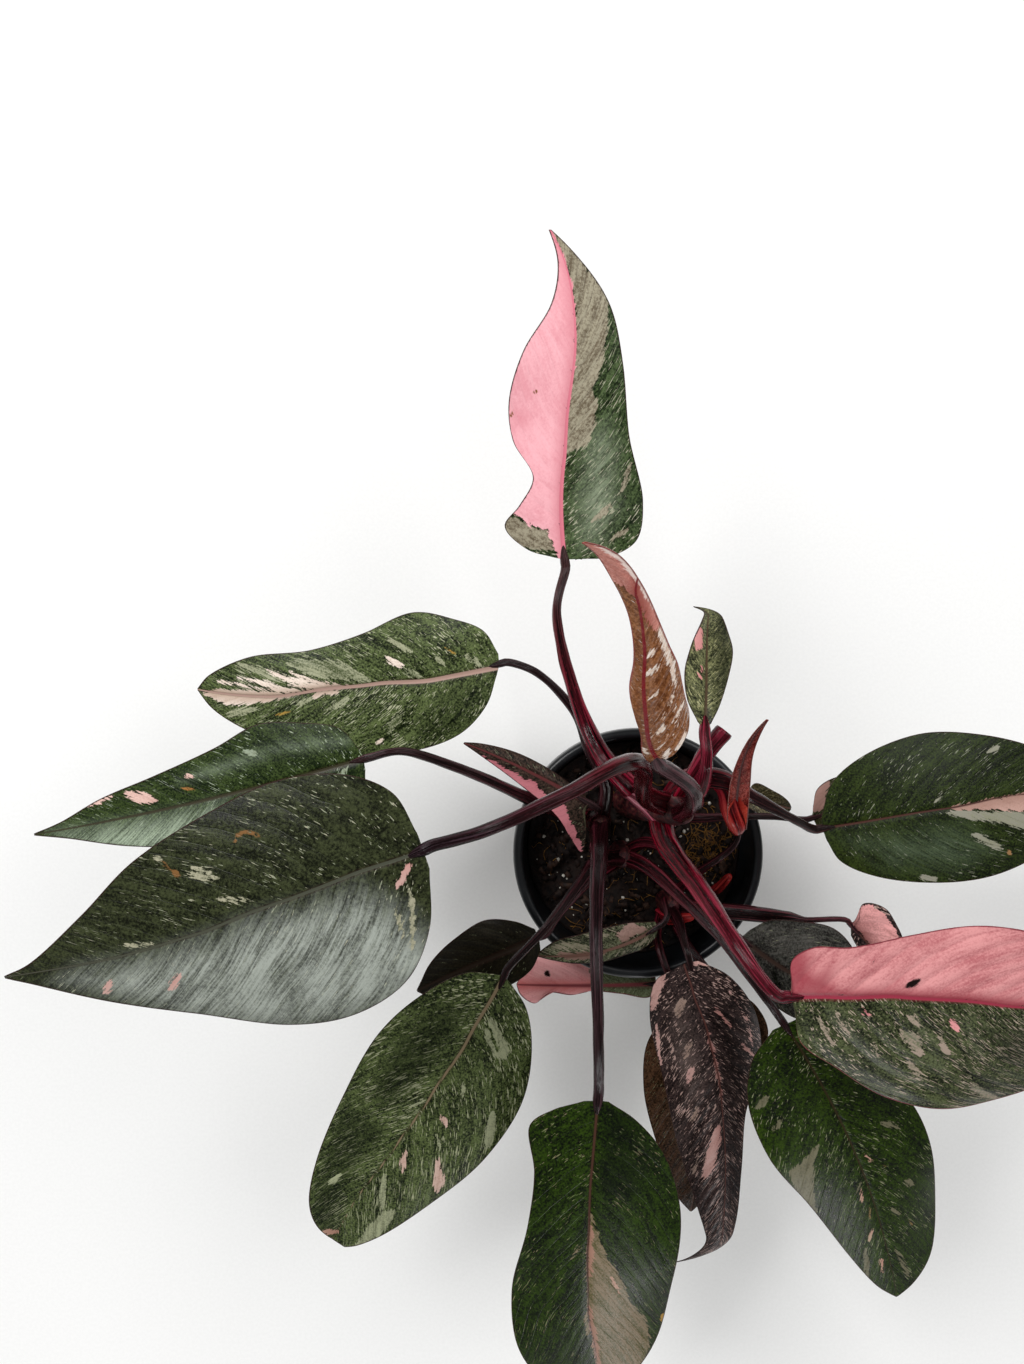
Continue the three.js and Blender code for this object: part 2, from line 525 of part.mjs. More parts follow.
function addNode(name, geometry, colour, roughness = 0.5) {
  const material = new THREE.MeshStandardMaterial({ color: COLOURS[colour], roughness, metalness: 0 });
  const mesh = new THREE.Mesh(geometry, material);
  mesh.name = name;
  plant.add(mesh);
}

addNode("pot", pot(), "pot", 0.45);
addNode("soil", soil(), "soil", 0.95);
for (const [name, route] of Object.entries(SHOOTS)) {
  addNode(name, bar(route, SHOOT_SIDES, SHOOT_STEPS), "stem", 0.6);
}
for (const leaf of LEAVES) {
  const shoot = shootSolids[leaf.shoot];
  if (!leaf.stalk) {
    addNode(leaf.name, geometryFrom(solidOf(blade(leaf)).subtract(shoot)), leaf.colour);
    continue;
  }
  const stalk = solidOf(bar(stalkRoute(leaf), STALK_SIDES, STALK_STEPS)).subtract(shoot);
  addNode("stalk_" + leaf.name, geometryFrom(stalk), leaf.colour === "bronze" ? "crimson" : "burgundy", 0.4);
  addNode("blade_" + leaf.name, blade(leaf), leaf.colour, 0.35);
}

export default plant;
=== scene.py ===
"""A pink princess philodendron in its nursery pot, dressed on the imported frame.

The blades, stalks, shoots, buds, pot and soil are classes that hold their sizes and make their
meshes, and each finish is a frozen dataclass that makes its material. Lengths are in millimetres
until a mesh is finished, when it is brought to metres. The origin is the middle of the pot's base.
"""

import logging
import math
import random
from dataclasses import dataclass, field, replace
from enum import Enum
from typing import Any, Sequence, Union

import bmesh
import bpy
from mathutils import Matrix, Vector, noise


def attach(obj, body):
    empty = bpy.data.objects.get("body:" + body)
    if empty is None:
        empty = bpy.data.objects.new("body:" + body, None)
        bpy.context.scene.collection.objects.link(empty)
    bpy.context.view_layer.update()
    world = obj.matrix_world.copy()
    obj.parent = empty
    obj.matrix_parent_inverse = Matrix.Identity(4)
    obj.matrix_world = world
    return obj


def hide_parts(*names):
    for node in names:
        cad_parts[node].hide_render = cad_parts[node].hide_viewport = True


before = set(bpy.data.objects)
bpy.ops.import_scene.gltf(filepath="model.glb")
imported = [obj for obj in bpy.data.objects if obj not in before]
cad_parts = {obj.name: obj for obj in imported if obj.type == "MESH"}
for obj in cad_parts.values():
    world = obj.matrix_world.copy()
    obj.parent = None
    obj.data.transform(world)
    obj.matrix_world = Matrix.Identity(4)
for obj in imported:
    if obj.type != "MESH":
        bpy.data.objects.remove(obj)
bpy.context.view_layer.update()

LOG = logging.getLogger("philodendron")

METRES = 0.001  # one millimetre
MERGE = 1e-4  # points nearer than this are one, in mm
FULL_TURN = 2 * math.pi
BODY = "root"
HOOK_START = 0.85  # share of the midrib where a hooked tip begins to bend
ROW_LAG = 1.5  # above 1, the side veins lean toward the tip
TIP_HALF_WIDTH = 0.4
PLANT_GLINT = 0.12  # specular level of leaves and stalks

Mesh = bmesh.types.BMesh
Vert = bmesh.types.BMVert
Material = bpy.types.Material
Piece = bpy.types.Object
Cells = dict[tuple[int, int], Vert]
Layers = dict[str, bmesh.types.BMLayerItem]
Colour = tuple[float, float, float, float]
Point = tuple[float, ...]
Place = tuple[float, float]
Outline = tuple[Place, ...]


def paint(code: str) -> Colour:
    """Turns a six-digit screen colour into the linear colour that a shader reads.

    Args:
        code: red, green and blue as six hexadecimal digits.

    Returns:
        Linear red, green, blue and a full alpha.
    """
    parts = [int(code[i : i + 2], 16) / 255 for i in (0, 2, 4)]
    red, green, blue = [c / 12.92 if c <= 0.04045 else ((c + 0.055) / 1.055) ** 2.4 for c in parts]
    return (red, green, blue, 1.0)


def clamp(value: float, low: float = 0.0, high: float = 1.0) -> float:
    """Returns the value, brought between low and high."""
    return min(high, max(low, value))


def smooth_step(low: float, high: float, value: float) -> float:
    """Returns 0 below low, 1 above high and an eased share between them."""
    share = clamp((value - low) / (high - low))
    return share * share * (3 - 2 * share)


def bell(distance: float, width: float) -> float:
    """Returns 1 at no distance, falling off smoothly over about the width."""
    return math.exp(-((distance / width) ** 2))


class Slot(Enum):
    """The material slots."""

    POT = "pot"
    SOIL = "soil"
    STEM = "stem"
    STALK = "stalk"
    YOUNG_STALK = "stalk_young"
    GREEN = "leaf_green"
    DEEP = "leaf_deep"
    PALE = "leaf_pale"
    PINK = "leaf_pink"
    BRONZE = "leaf_bronze"
    PURPLE = "leaf_purple"
    OLIVE = "leaf_olive"
    BRACT = "bract"


# ---------------- shader maths


class Value:
    """An output socket that does arithmetic by adding Math nodes."""

    def __init__(self, nodes: "Nodes", socket: bpy.types.NodeSocket) -> None:
        """Wraps one output socket of a node tree."""
        self.nodes = nodes
        self.socket = socket

    def __add__(self, other: "Number") -> "Value":
        """Returns self + other."""
        return self.nodes.math("ADD", self, other)

    def __sub__(self, other: "Number") -> "Value":
        """Returns self - other."""
        return self.nodes.math("SUBTRACT", self, other)

    def __rsub__(self, other: float) -> "Value":
        """Returns other - self."""
        return self.nodes.math("SUBTRACT", other, self)

    def __mul__(self, other: "Number") -> "Value":
        """Returns self * other."""
        return self.nodes.math("MULTIPLY", self, other)

    __radd__ = __add__
    __rmul__ = __mul__

    def size(self) -> "Value":
        """Returns the absolute value."""
        return self.nodes.math("ABSOLUTE", self)

    def sine(self) -> "Value":
        """Returns the sine."""
        return self.nodes.math("SINE", self)

    def ease(self, low: float, high: float) -> "Value":
        """Adds a smooth run from 0 to 1.

        Args:
            low: the value that gives 0, which may be the larger one.
            high: the value that gives 1.

        Returns:
            The eased share.
        """
        node = self.nodes.add(
            "ShaderNodeMapRange",
            {"interpolation_type": "SMOOTHSTEP"},
            {"Value": self, "From Min": low, "From Max": high},
        )
        return Value(self.nodes, node.outputs["Result"])


Number = Union[Value, float]
Tint = Union[Value, str]
Triple = tuple[Value, Value, Value]


class Nodes:
    """The node tree of one new material."""

    def __init__(self, name: str) -> None:
        """Makes a material with an empty tree and its output node."""
        self.material = bpy.data.materials.new(name)
        self.material.use_nodes = True
        self.tree = self.material.node_tree
        self.tree.nodes.clear()
        self.output = self.tree.nodes.new("ShaderNodeOutputMaterial")

    def add(
        self, kind: str, settings: dict[str, Any] | None = None, sockets: dict[Any, Any] | None = None
    ) -> bpy.types.Node:
        """Adds a node.

        Args:
            kind: the node's type.
            settings: its properties, set before its sockets.
            sockets: value or link of each input, by name or by index.

        Returns:
            The new node.
        """
        node = self.tree.nodes.new(kind)
        for key, setting in (settings or {}).items():
            setattr(node, key, setting)
        for key, given in (sockets or {}).items():
            if isinstance(given, Value):
                self.tree.links.new(given.socket, node.inputs[key])
            else:
                node.inputs[key].default_value = given
        return node

    def math(self, operation: str, *terms: Number) -> Value:
        """Adds a Math node on one or two terms and returns its result."""
        node = self.add("ShaderNodeMath", {"operation": operation}, dict(enumerate(terms)))
        return Value(self, node.outputs[0])

    def place(self) -> Value:
        """Returns the Object coordinates."""
        return Value(self, self.add("ShaderNodeTexCoord").outputs["Object"])

    def split(self, vector: Value) -> Triple:
        """Returns the three components of a vector."""
        node = self.add("ShaderNodeSeparateXYZ", None, {0: vector})
        return tuple(Value(self, socket) for socket in node.outputs)

    def join(self, x: Number, y: Number, z: Number) -> Value:
        """Returns a vector of three components."""
        return Value(self, self.add("ShaderNodeCombineXYZ", None, {0: x, 1: y, 2: z}).outputs[0])

    def read(self, attribute: str) -> Triple:
        """Returns the three components of one of the mesh's own attributes."""
        node = self.add("ShaderNodeAttribute", {"attribute_name": attribute})
        return self.split(Value(self, node.outputs["Vector"]))

    def noise(self, vector: Value, scale: float, detail: float = 2.0, roughness: float = 0.5) -> Value:
        """Adds a Noise texture.

        Args:
            vector: the place that it is read at.
            scale: how fine it is.
            detail: the number of finer layers.
            roughness: how strong those layers are.

        Returns:
            Its value, which stays near 0.5.
        """
        node = self.add(
            "ShaderNodeTexNoise",
            {"noise_dimensions": "3D"},
            {"Vector": vector, "Scale": scale, "Detail": detail, "Roughness": roughness},
        )
        return Value(self, node.outputs[0])

    def cells(self, vector: Value, scale: float) -> Value:
        """Returns a Voronoi texture's distance to the nearest cell centre."""
        node = self.add("ShaderNodeTexVoronoi", {"feature": "F1"}, {"Vector": vector, "Scale": scale})
        return Value(self, node.outputs["Distance"])

    def mix(self, factor: Number, first: Tint, second: Tint) -> Value:
        """Mixes two colours.

        Args:
            factor: 0 for the first colour, 1 for the second.
            first: a colour from the tree, or a six-digit screen colour.
            second: the same.

        Returns:
            The mixed colour.
        """
        tints = [paint(tint) if isinstance(tint, str) else tint for tint in (first, second)]
        node = self.add("ShaderNodeMix", {"data_type": "RGBA"}, {0: factor, 6: tints[0], 7: tints[1]})
        return Value(self, node.outputs[2])

    def bump(self, height: Value, distance: float, strength: float) -> Value:
        """Returns the normal of a surface with that relief; distance is in millimetres."""
        sockets = {"Height": height, "Distance": distance * METRES, "Strength": strength}
        return Value(self, self.add("ShaderNodeBump", None, sockets).outputs[0])

    def surface(self, **sockets: Any) -> Material:
        """Closes the tree with a Principled shader.

        Args:
            sockets: its inputs, with underscores for the spaces in their names.

        Returns:
            The finished material.
        """
        named = {key.replace("_", " "): given for key, given in sockets.items()}
        shader = self.add("ShaderNodeBsdfPrincipled", None, named)
        self.tree.links.new(shader.outputs[0], self.output.inputs["Surface"])
        return self.material


# ---------------- finishes


class BladeNoises:
    """The noises that break up a blade's colours; most are drawn out along its side veins."""

    def __init__(self, nodes: Nodes, growth: Triple, seed: float) -> None:
        """Lays the noises.

        Args:
            nodes: the blade's material.
            growth: the places along the midrib, across it and along the side veins, in mm.
            seed: shifts the noise, so that no two blades are marked alike.
        """
        along, across, vein = growth
        veined = nodes.join(vein, across * 0.4, seed)
        level = nodes.join(along, across, seed + 5)
        self.marble = nodes.noise(veined, 0.2, 3.0)
        self.streak = nodes.noise(veined, 0.85, 3.0, 0.6)
        self.dash = nodes.noise(nodes.join(vein, across * 0.22, seed + 3), 2.1, 1.0)
        self.silk = nodes.noise(nodes.join(vein, across * 0.09, seed + 9), 1.2, 4.0, 0.7)
        self.fine = nodes.noise(level, 1.3, 3.0, 0.7)
        self.cloud = nodes.noise(level, 0.08, 2.0)
        self.soft = self.marble * 0.3 + self.streak * 0.3 + self.fine * 0.4
        uneven = (self.streak - 0.5) * 4.2 + (self.marble - 0.5) * 3.0 + (self.fine - 0.5) * 1.4
        self.ragged = uneven + 0.15  # how far a mark's edge wanders, in mm


@dataclass(frozen=True)
class LeafFinish:
    """A variegated blade: mottled ground, flecks along the veins, listed marks, midrib and margin."""

    dark: str = "1c260a"
    light: str = "4a5834"
    fleck: str = "8f9674"
    flecks: float = 0.35  # 0 for a plain ground, 1 for one that is flecked all over
    pink: str = "d9a49a"
    deep_pink: str = "c07f78"
    pale: str = "868a6c"
    deep_pale: str = "6c7056"
    scar: str = "a5713f"
    rib: str = "6d4f45"
    rib_width: float = 1.0  # half width of the midrib's colour at the base, in mm
    shade: float = 0.4  # how dark the painted shade at the sides of the midrib's furrow is
    vein: str = "141c08"
    veins: float = 0.3  # how plainly the side veins are drawn
    vein_step: float = 7.0
    # colour of the painted sheen, a reflection painted on the blade where its sheen marks lie
    painted_sheen: str = "8b948a"
    painted_shade: float = 0.55  # how dark the painted shade is
    margin: str = "2c1512"
    under: str = "4c4a38"
    roughness: float = 0.32
    relief: float = 0.15
    coat: float = 0.0
    coat_roughness: float = 0.16

    def ground(self, nodes: Nodes, noises: BladeNoises, shaded: Value, painted_sheen: Value) -> Value:
        """Colours the blade's green ground.

        Args:
            nodes: the blade's material.
            noises: its noises.
            shaded: 1 under the painted shade.
            painted_sheen: 1 where the painted sheen lies.

        Returns:
            The mottled ground with its flecks, its painted shade and its painted sheen.
        """
        tone = noises.marble * 0.22 + noises.streak * 0.25 + noises.fine * 0.53
        body = nodes.mix(tone.ease(0.4, 0.63), self.dark, self.light)
        start = 0.72 - 0.13 * self.flecks
        flecked = (noises.dash + (noises.cloud - 0.5) * 0.35).ease(start, start + 0.03)
        body = nodes.mix(flecked, body, nodes.mix(noises.fine.ease(0.35, 0.6), self.pale, self.fleck))
        # painted shade: the ground darkened where the shade marks lie
        body = nodes.mix(shaded * self.painted_shade, body, self.dark)
        # painted sheen: a reflection painted over the ground in streaks
        sheen_grain = noises.silk * 0.45 + noises.fine * 0.2 + noises.marble * 0.2 + noises.cloud * 0.15
        return nodes.mix(painted_sheen * (sheen_grain.ease(0.38, 0.6) * 0.8 + 0.12), body, self.painted_sheen)

    def pink_tone(self, nodes: Nodes, noises: BladeNoises, across: Value, shaded: Value) -> Value:
        """Colours the pink parts, deeper beside the midrib and under the painted shade.

        Args:
            nodes: the blade's material.
            noises: its noises.
            across: the place across the midrib, in mm.
            shaded: 1 under the painted shade.

        Returns:
            The pink.
        """
        clear = (noises.soft * 0.8 + noises.cloud * 0.2).ease(0.36, 0.58) * 0.6 + 0.4
        clear = clear * across.size().ease(-1.5, 6.0) * (1.0 - shaded * 0.8)
        return nodes.mix(clear, self.deep_pink, self.pink)

    def material(self, name: str, seed: float) -> Material:
        """Makes the finish of one blade.

        Args:
            name: the material's name.
            seed: shifts the noise, so that no two blades are marked alike.

        Returns:
            The new material.
        """
        nodes = Nodes(name)
        growth = nodes.read("growth")
        pink, pale, scar = nodes.read("marks")
        rib, edge, under = nodes.read("parts")
        # painted sheen, the pillows between the side veins, and painted shade
        painted_sheen, quilt, shaded = nodes.read("cast")
        _, across, vein = growth
        noises = BladeNoises(nodes, growth, seed)

        body = self.ground(nodes, noises, shaded, painted_sheen)
        pale_tone = nodes.mix(noises.soft.ease(0.4, 0.58), self.deep_pale, self.pale)
        body = nodes.mix((pale + noises.ragged).ease(-0.25, 0.25), body, pale_tone)
        pink_part = (pink + noises.ragged).ease(-0.2, 0.2)
        body = nodes.mix(pink_part, body, self.pink_tone(nodes, noises, across, shaded))
        body = nodes.mix((scar + noises.ragged * 0.5).ease(-0.3, 0.3), body, self.scar)

        wave = ((vein + (noises.marble - 0.5) * 3.0) * (math.pi / self.vein_step)).sine().size()
        line = wave.ease(0.14, 0.02) * rib.ease(0.5, 3.0) * (1.0 - pink_part * 0.75)
        body = nodes.mix(line * self.veins, body, self.vein)
        # painted shade at the sides of the midrib's furrow
        body = nodes.mix(rib.ease(2.4, 1.0) * self.shade, body, self.margin)
        body = nodes.mix(rib.ease(1.1, 0.7), body, self.rib)
        body = nodes.mix((edge + (noises.streak - 0.5) * 0.5).ease(0.5, 0.12), body, self.margin)
        body = nodes.mix(under, body, nodes.mix(0.7 - pink_part * 0.4, body, self.under))

        height = noises.fine * 0.4 + noises.streak * 0.4 + quilt * self.relief - line * 0.25
        return nodes.surface(
            Base_Color=body,
            Roughness=noises.fine * 0.2 + noises.marble * 0.1 + (self.roughness - 0.15) + under * 0.15,
            Specular_IOR_Level=PLANT_GLINT,
            Normal=nodes.bump(height, 0.35, 0.6),
            Coat_Weight=self.coat,
            Coat_Roughness=self.coat_roughness,
        )


@dataclass(frozen=True)
class StalkFinish:
    """A stalk: fine stripes along it, painted shade in the furrow on top, painted highlights on the ridges
    beside it, and a young red foot.
    """

    foot: str = "2a0a0e"
    head: str = "241716"
    blush: str = "6e1c2c"  # the stripes' colour at the foot
    stripe: str = "54343a"  # the stripes' colour at the blade
    dark: str = "0c0405"
    stripes: float = 0.55  # how plainly the light stripes and the painted ridge highlights are drawn
    red_until: float = 0.5  # share of the length over which the foot's colours last
    roughness: float = 0.16

    def material(self, name: str, seed: float) -> Material:
        """Makes the finish of one stalk.

        Args:
            name: the material's name.
            seed: shifts its stripes.

        Returns:
            The new material.
        """
        nodes = Nodes(name)
        run, cosine, sine = nodes.read("run")
        share, from_top, _ = nodes.read("parts")
        stripe = nodes.noise(nodes.join(cosine * 2.6, sine * 2.6, run * 0.025 + seed), 1.5, 3.0, 0.6)
        fleck = nodes.noise(nodes.join(cosine * 3, sine * 3, run * 0.22 + seed), 2.4, 2.0, 0.6)
        age = (share + (stripe - 0.5) * 0.6).ease(self.red_until - 0.3, self.red_until + 0.2)
        light = nodes.mix(age, self.blush, self.stripe)
        body = nodes.mix(age, self.foot, self.head)
        body = nodes.mix(stripe.ease(0.47, 0.38), body, self.dark)
        body = nodes.mix(stripe.ease(0.52, 0.6) * self.stripes, body, light)
        # painted highlight along the ridges beside the furrow
        ridge_highlight = (from_top - 0.8).size().ease(0.28, 0.08) * (1.0 - share * 0.6)
        body = nodes.mix(ridge_highlight * (stripe.ease(0.36, 0.56) * self.stripes), body, light)
        # painted shade in the furrow on top
        body = nodes.mix(from_top.ease(0.55, 0.2) * (0.75 - share * 0.45), body, self.dark)
        body = nodes.mix(fleck.ease(0.62, 0.7) * 0.35, body, light)
        body = nodes.mix(fleck.ease(0.4, 0.3) * 0.6, body, self.dark)
        return nodes.surface(
            Base_Color=body,
            Roughness=fleck * 0.12 + (self.roughness - 0.06),
            Specular_IOR_Level=PLANT_GLINT,
            Normal=nodes.bump(stripe * 0.8 + fleck * 0.2, 0.45, 0.7),
        )


@dataclass(frozen=True)
class ShootFinish:
    """The short woody shoots: brown-red with rings and dry scurf."""

    bark: str = "260e10"
    red: str = "4a161c"
    scurf: str = "5e3e30"

    def material(self) -> Material:
        """Makes the shared finish of the shoots."""
        nodes = Nodes("shoot_bark")
        run, cosine, sine = nodes.read("run")
        strand = nodes.noise(nodes.join(cosine * 2, sine * 2, run * 0.12), 1.6, 3.0, 0.6)
        crust = nodes.noise(nodes.place(), 900.0, 3.0, 0.65)
        body = nodes.mix(strand.ease(0.42, 0.6), self.bark, self.red)
        body = nodes.mix((crust * 0.6 + strand * 0.4).ease(0.54, 0.62), body, self.scurf)
        return nodes.surface(
            Base_Color=body,
            Roughness=crust * 0.4 + 0.35,
            Specular_IOR_Level=0.25,
            Normal=nodes.bump(strand * 0.5 + crust * 0.5, 0.6, 0.8),
        )


@dataclass(frozen=True)
class PotFinish:
    """Black moulded plastic with fine turning lines, dust and light scuffs."""

    black: str = "0c0d0f"
    sheen: str = "15171a"
    dust: str = "44423e"

    def material(self) -> Material:
        """Makes the pot's finish."""
        nodes = Nodes("pot_plastic")
        place = nodes.place()
        x, y, z = nodes.split(place)
        rings = nodes.noise(nodes.join(x * 4, y * 4, z * 260), 6.0, 2.0, 0.6)
        scuff = nodes.noise(nodes.join(x, y, z * 6), 160.0, 3.0, 0.7)
        cloud = nodes.noise(place, 38.0, 3.0)
        grain = nodes.noise(place, 2600.0, 1.0)
        dust = (scuff * 0.5 + cloud * 0.5).ease(0.54, 0.7)
        body = nodes.mix(rings.ease(0.35, 0.65), self.black, self.sheen)
        return nodes.surface(
            Base_Color=nodes.mix(dust * 0.22, body, self.dust),
            Roughness=dust * 0.25 + rings * 0.12 + 0.24,
            Specular_IOR_Level=0.3,
            Normal=nodes.bump(rings * 0.5 + grain * 0.25 + scuff * 0.3, 0.12, 0.5),
        )


@dataclass(frozen=True)
class CrumbFinish:
    """Something that lies in or on the soil: two tones broken up by fine noise."""

    dark: str = "080505"
    light: str = "20140f"
    speck: str = "4a3a2c"
    specks: float = 0.35  # how plainly the specks are drawn
    scale: float = 420.0  # of the fine noise, per metre
    roughness: float = 0.85
    bump: float = 0.8  # height of the relief, in mm

    def material(self, name: str) -> Material:
        """Makes this finish.

        Args:
            name: the material's name.

        Returns:
            The new material.
        """
        nodes = Nodes(name)
        place = nodes.place()
        coarse = nodes.noise(place, self.scale * 0.35, 3.0, 0.6)
        fine = nodes.noise(place, self.scale, 4.0, 0.7)
        dots = nodes.cells(place, self.scale * 0.9)
        body = nodes.mix((coarse * 0.5 + fine * 0.5).ease(0.38, 0.64), self.dark, self.light)
        return nodes.surface(
            Base_Color=nodes.mix((fine - dots * 0.2).ease(0.55, 0.62) * self.specks, body, self.speck),
            Roughness=fine * 0.25 + (self.roughness - 0.15),
            Specular_IOR_Level=0.2,
            Normal=nodes.bump(coarse * 0.4 + fine * 0.6, self.bump, 0.8),
        )


@dataclass(frozen=True)
class FloorFinish:
    """The pale sheet below the pot."""

    tone: str = "f6f6f5"
    fibre: str = "f3f3f2"

    def material(self) -> Material:
        """Makes the floor's finish."""
        nodes = Nodes("floor_paper")
        grain = nodes.noise(nodes.place(), 700.0, 2.0)
        body = nodes.mix(grain.ease(0.3, 0.7), self.tone, self.fibre)
        return nodes.surface(Base_Color=body, Roughness=0.95, Specular_IOR_Level=0.1)


# ---------------- curves


class Route:
    """A smooth line through points; any numbers after the third are carried along it."""

    SAMPLES = 120

    def __init__(self, points: Sequence[Sequence[float]]) -> None:
        """Keeps the points and measures the line.

        Args:
            points: (x, y, z) and any other numbers of each point.
        """
        self.points = [Vector(p[:3]) for p in points]
        self.carried = [tuple(p[3:]) for p in points]
        self.table = [0.0]
        last = self.at(0.0)
        for i in range(1, self.SAMPLES + 1):
            here = self.at(i / self.SAMPLES)
            self.table.append(self.table[-1] + (here - last).length)
            last = here

    @property
    def length(self) -> float:
        """The length of the whole line."""
        return self.table[-1]

    def at(self, share: float) -> Vector:
        """Finds a point of the line.

        Args:
            share: the share of the line's spans that lies before it.

        Returns:
            The point.
        """
        count = len(self.points)
        place = clamp(share) * (count - 1)
        span = min(int(place), count - 2)
        rest = place - span
        p1, p2 = self.points[span], self.points[span + 1]
        p0 = self.points[span - 1] if span > 0 else p1 * 2 - p2
        p3 = self.points[span + 2] if span + 2 < count else p2 * 2 - p1
        d0, d1, d2 = [max(math.sqrt((b - a).length), 1e-4) for a, b in ((p0, p1), (p1, p2), (p2, p3))]
        start = ((p1 - p0) / d0 - (p2 - p0) / (d0 + d1) + (p2 - p1) / d1) * d1
        end = ((p2 - p1) / d1 - (p3 - p1) / (d1 + d2) + (p3 - p2) / d2) * d1
        square, cube = rest * rest, rest * rest * rest
        return (
            p1 * (2 * cube - 3 * square + 1)
            + start * (cube - 2 * square + rest)
            + p2 * (3 * square - 2 * cube)
            + end * (cube - square)
        )

    def ahead(self, share: float) -> Vector:
        """Returns the direction of the line there."""
        step = 1e-3
        return (self.at(share + step) - self.at(share - step)).normalized()

    def share_at(self, part: float) -> float:
        """Finds the place at a part of the length.

        Args:
            part: the part of the whole length that lies before it.

        Returns:
            Its share of the spans.
        """
        wanted = clamp(part) * self.length
        for i in range(1, self.SAMPLES + 1):
            if self.table[i] >= wanted:
                step = self.table[i] - self.table[i - 1]
                return (i - 1 + (wanted - self.table[i - 1]) / (step or 1.0)) / self.SAMPLES
        return 1.0

    def carried_at(self, share: float) -> float:
        """Returns the first carried number there, such as a radius."""
        place = clamp(share) * (len(self.points) - 1)
        span = min(int(place), len(self.points) - 2)
        first, second = self.carried[span][0], self.carried[span + 1][0]
        return first + (second - first) * (place - span)


# ---------------- meshes


def cast(bm: Mesh, name: str, material: Material, slot: Slot, *nodes: str) -> Piece:
    """Turns a finished bmesh into a piece that rides on the plant's body.

    Args:
        bm: the shape in millimetres; it is freed.
        name: the piece's name.
        material: its finish.
        slot: the material slot that the finish belongs to; not used.
        nodes: the CAD nodes that the piece stands for.

    Returns:
        The new object.
    """
    bmesh.ops.scale(bm, vec=(METRES,) * 3, verts=bm.verts)
    for face in bm.faces:
        face.smooth = True
    mesh = bpy.data.meshes.new(name)
    bm.to_mesh(mesh)
    bm.free()
    mesh.materials.append(material)
    piece = bpy.data.objects.new(name, mesh)
    bpy.context.scene.collection.objects.link(piece)
    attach(piece, BODY)
    if nodes:
        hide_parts(*nodes)
    LOG.info("%s: %d faces", name, len(mesh.polygons))
    return piece


def layer(bm: Mesh, name: str) -> bmesh.types.BMLayerItem:
    """Returns the bmesh's vector attribute of that name, and adds it where it is missing."""
    vectors = bm.verts.layers.float_vector
    return vectors.get(name) or vectors.new(name)


def grid_cells(bm: Mesh, rows: int, columns: int) -> Cells:
    """Adds a flat grid to a bmesh.

    Args:
        bm: the bmesh.
        rows: the number of faces along X.
        columns: the number of faces along Y.

    Returns:
        The vertex at each (row, column).
    """
    made = bmesh.ops.create_grid(bm, x_segments=rows, y_segments=columns, size=1.0)["verts"]
    return {(round((v.co.x + 1) / 2 * rows), round((v.co.y + 1) / 2 * columns)): v for v in made}


def spin_outline(bm: Mesh, outline: Sequence[Place], steps: int) -> None:
    """Spins an outline of (radius, height) points a full turn about the Z axis.

    Args:
        bm: the bmesh that the skin is added to.
        outline: its points, one after the other.
        steps: the number of faces round the axis.
    """
    verts = [bm.verts.new((radius, 0, height)) for radius, height in outline]
    line = [bm.edges.new(pair) for pair in zip(verts, verts[1:])]
    bmesh.ops.spin(
        bm,
        geom=[*verts, *line],
        cent=(0, 0, 0),
        axis=(0, 0, 1),
        angle=FULL_TURN,
        steps=steps,
        use_merge=True,
    )


@dataclass(frozen=True)
class Skin:
    """The form of a bar's surface."""

    sides: int = 20
    step: float = 1.6
    groove: float = 0.0  # depth of the furrow on top, as a share of the radius
    groove_angle: float = 0.42  # how far the furrow reaches from the top, in radians
    sheath: float = 0.0  # how much deeper the furrow is at the foot, as a share of the radius
    ribs: float = 0.0  # depth of the lengthwise ribs, as a share of the radius
    rib_count: int = 7
    flat: float = 1.0  # width over height at the foot
    rings: float = 0.0  # height of swollen rings, in mm
    ring_step: float = 13.0
    ring_width: float = 1.3
    lumps: float = 0.0  # height of uneven swelling, in mm
    lump_scale: float = 0.12

    def reach(self, radius: float, part: float, distance: float, angle: float, from_top: float) -> float:
        """Works out how far the skin lies from the middle, without its lumps.

        Args:
            radius: the bar's plain radius.
            part: the part of the whole length that lies behind.
            distance: the same in mm.
            angle: the place round the bar.
            from_top: the angle between that place and the furrow.

        Returns:
            The distance in mm.
        """
        furrow = self.groove + self.sheath * (1 - smooth_step(0.0, 0.45, part))
        grooved = radius * (1 - furrow * bell(from_top, self.groove_angle))
        ribbed = grooved * (1 - self.ribs * (0.5 - 0.5 * math.cos(self.rib_count * angle)))
        return ribbed + self.rings * bell(distance % self.ring_step - self.ring_step / 2, self.ring_width)


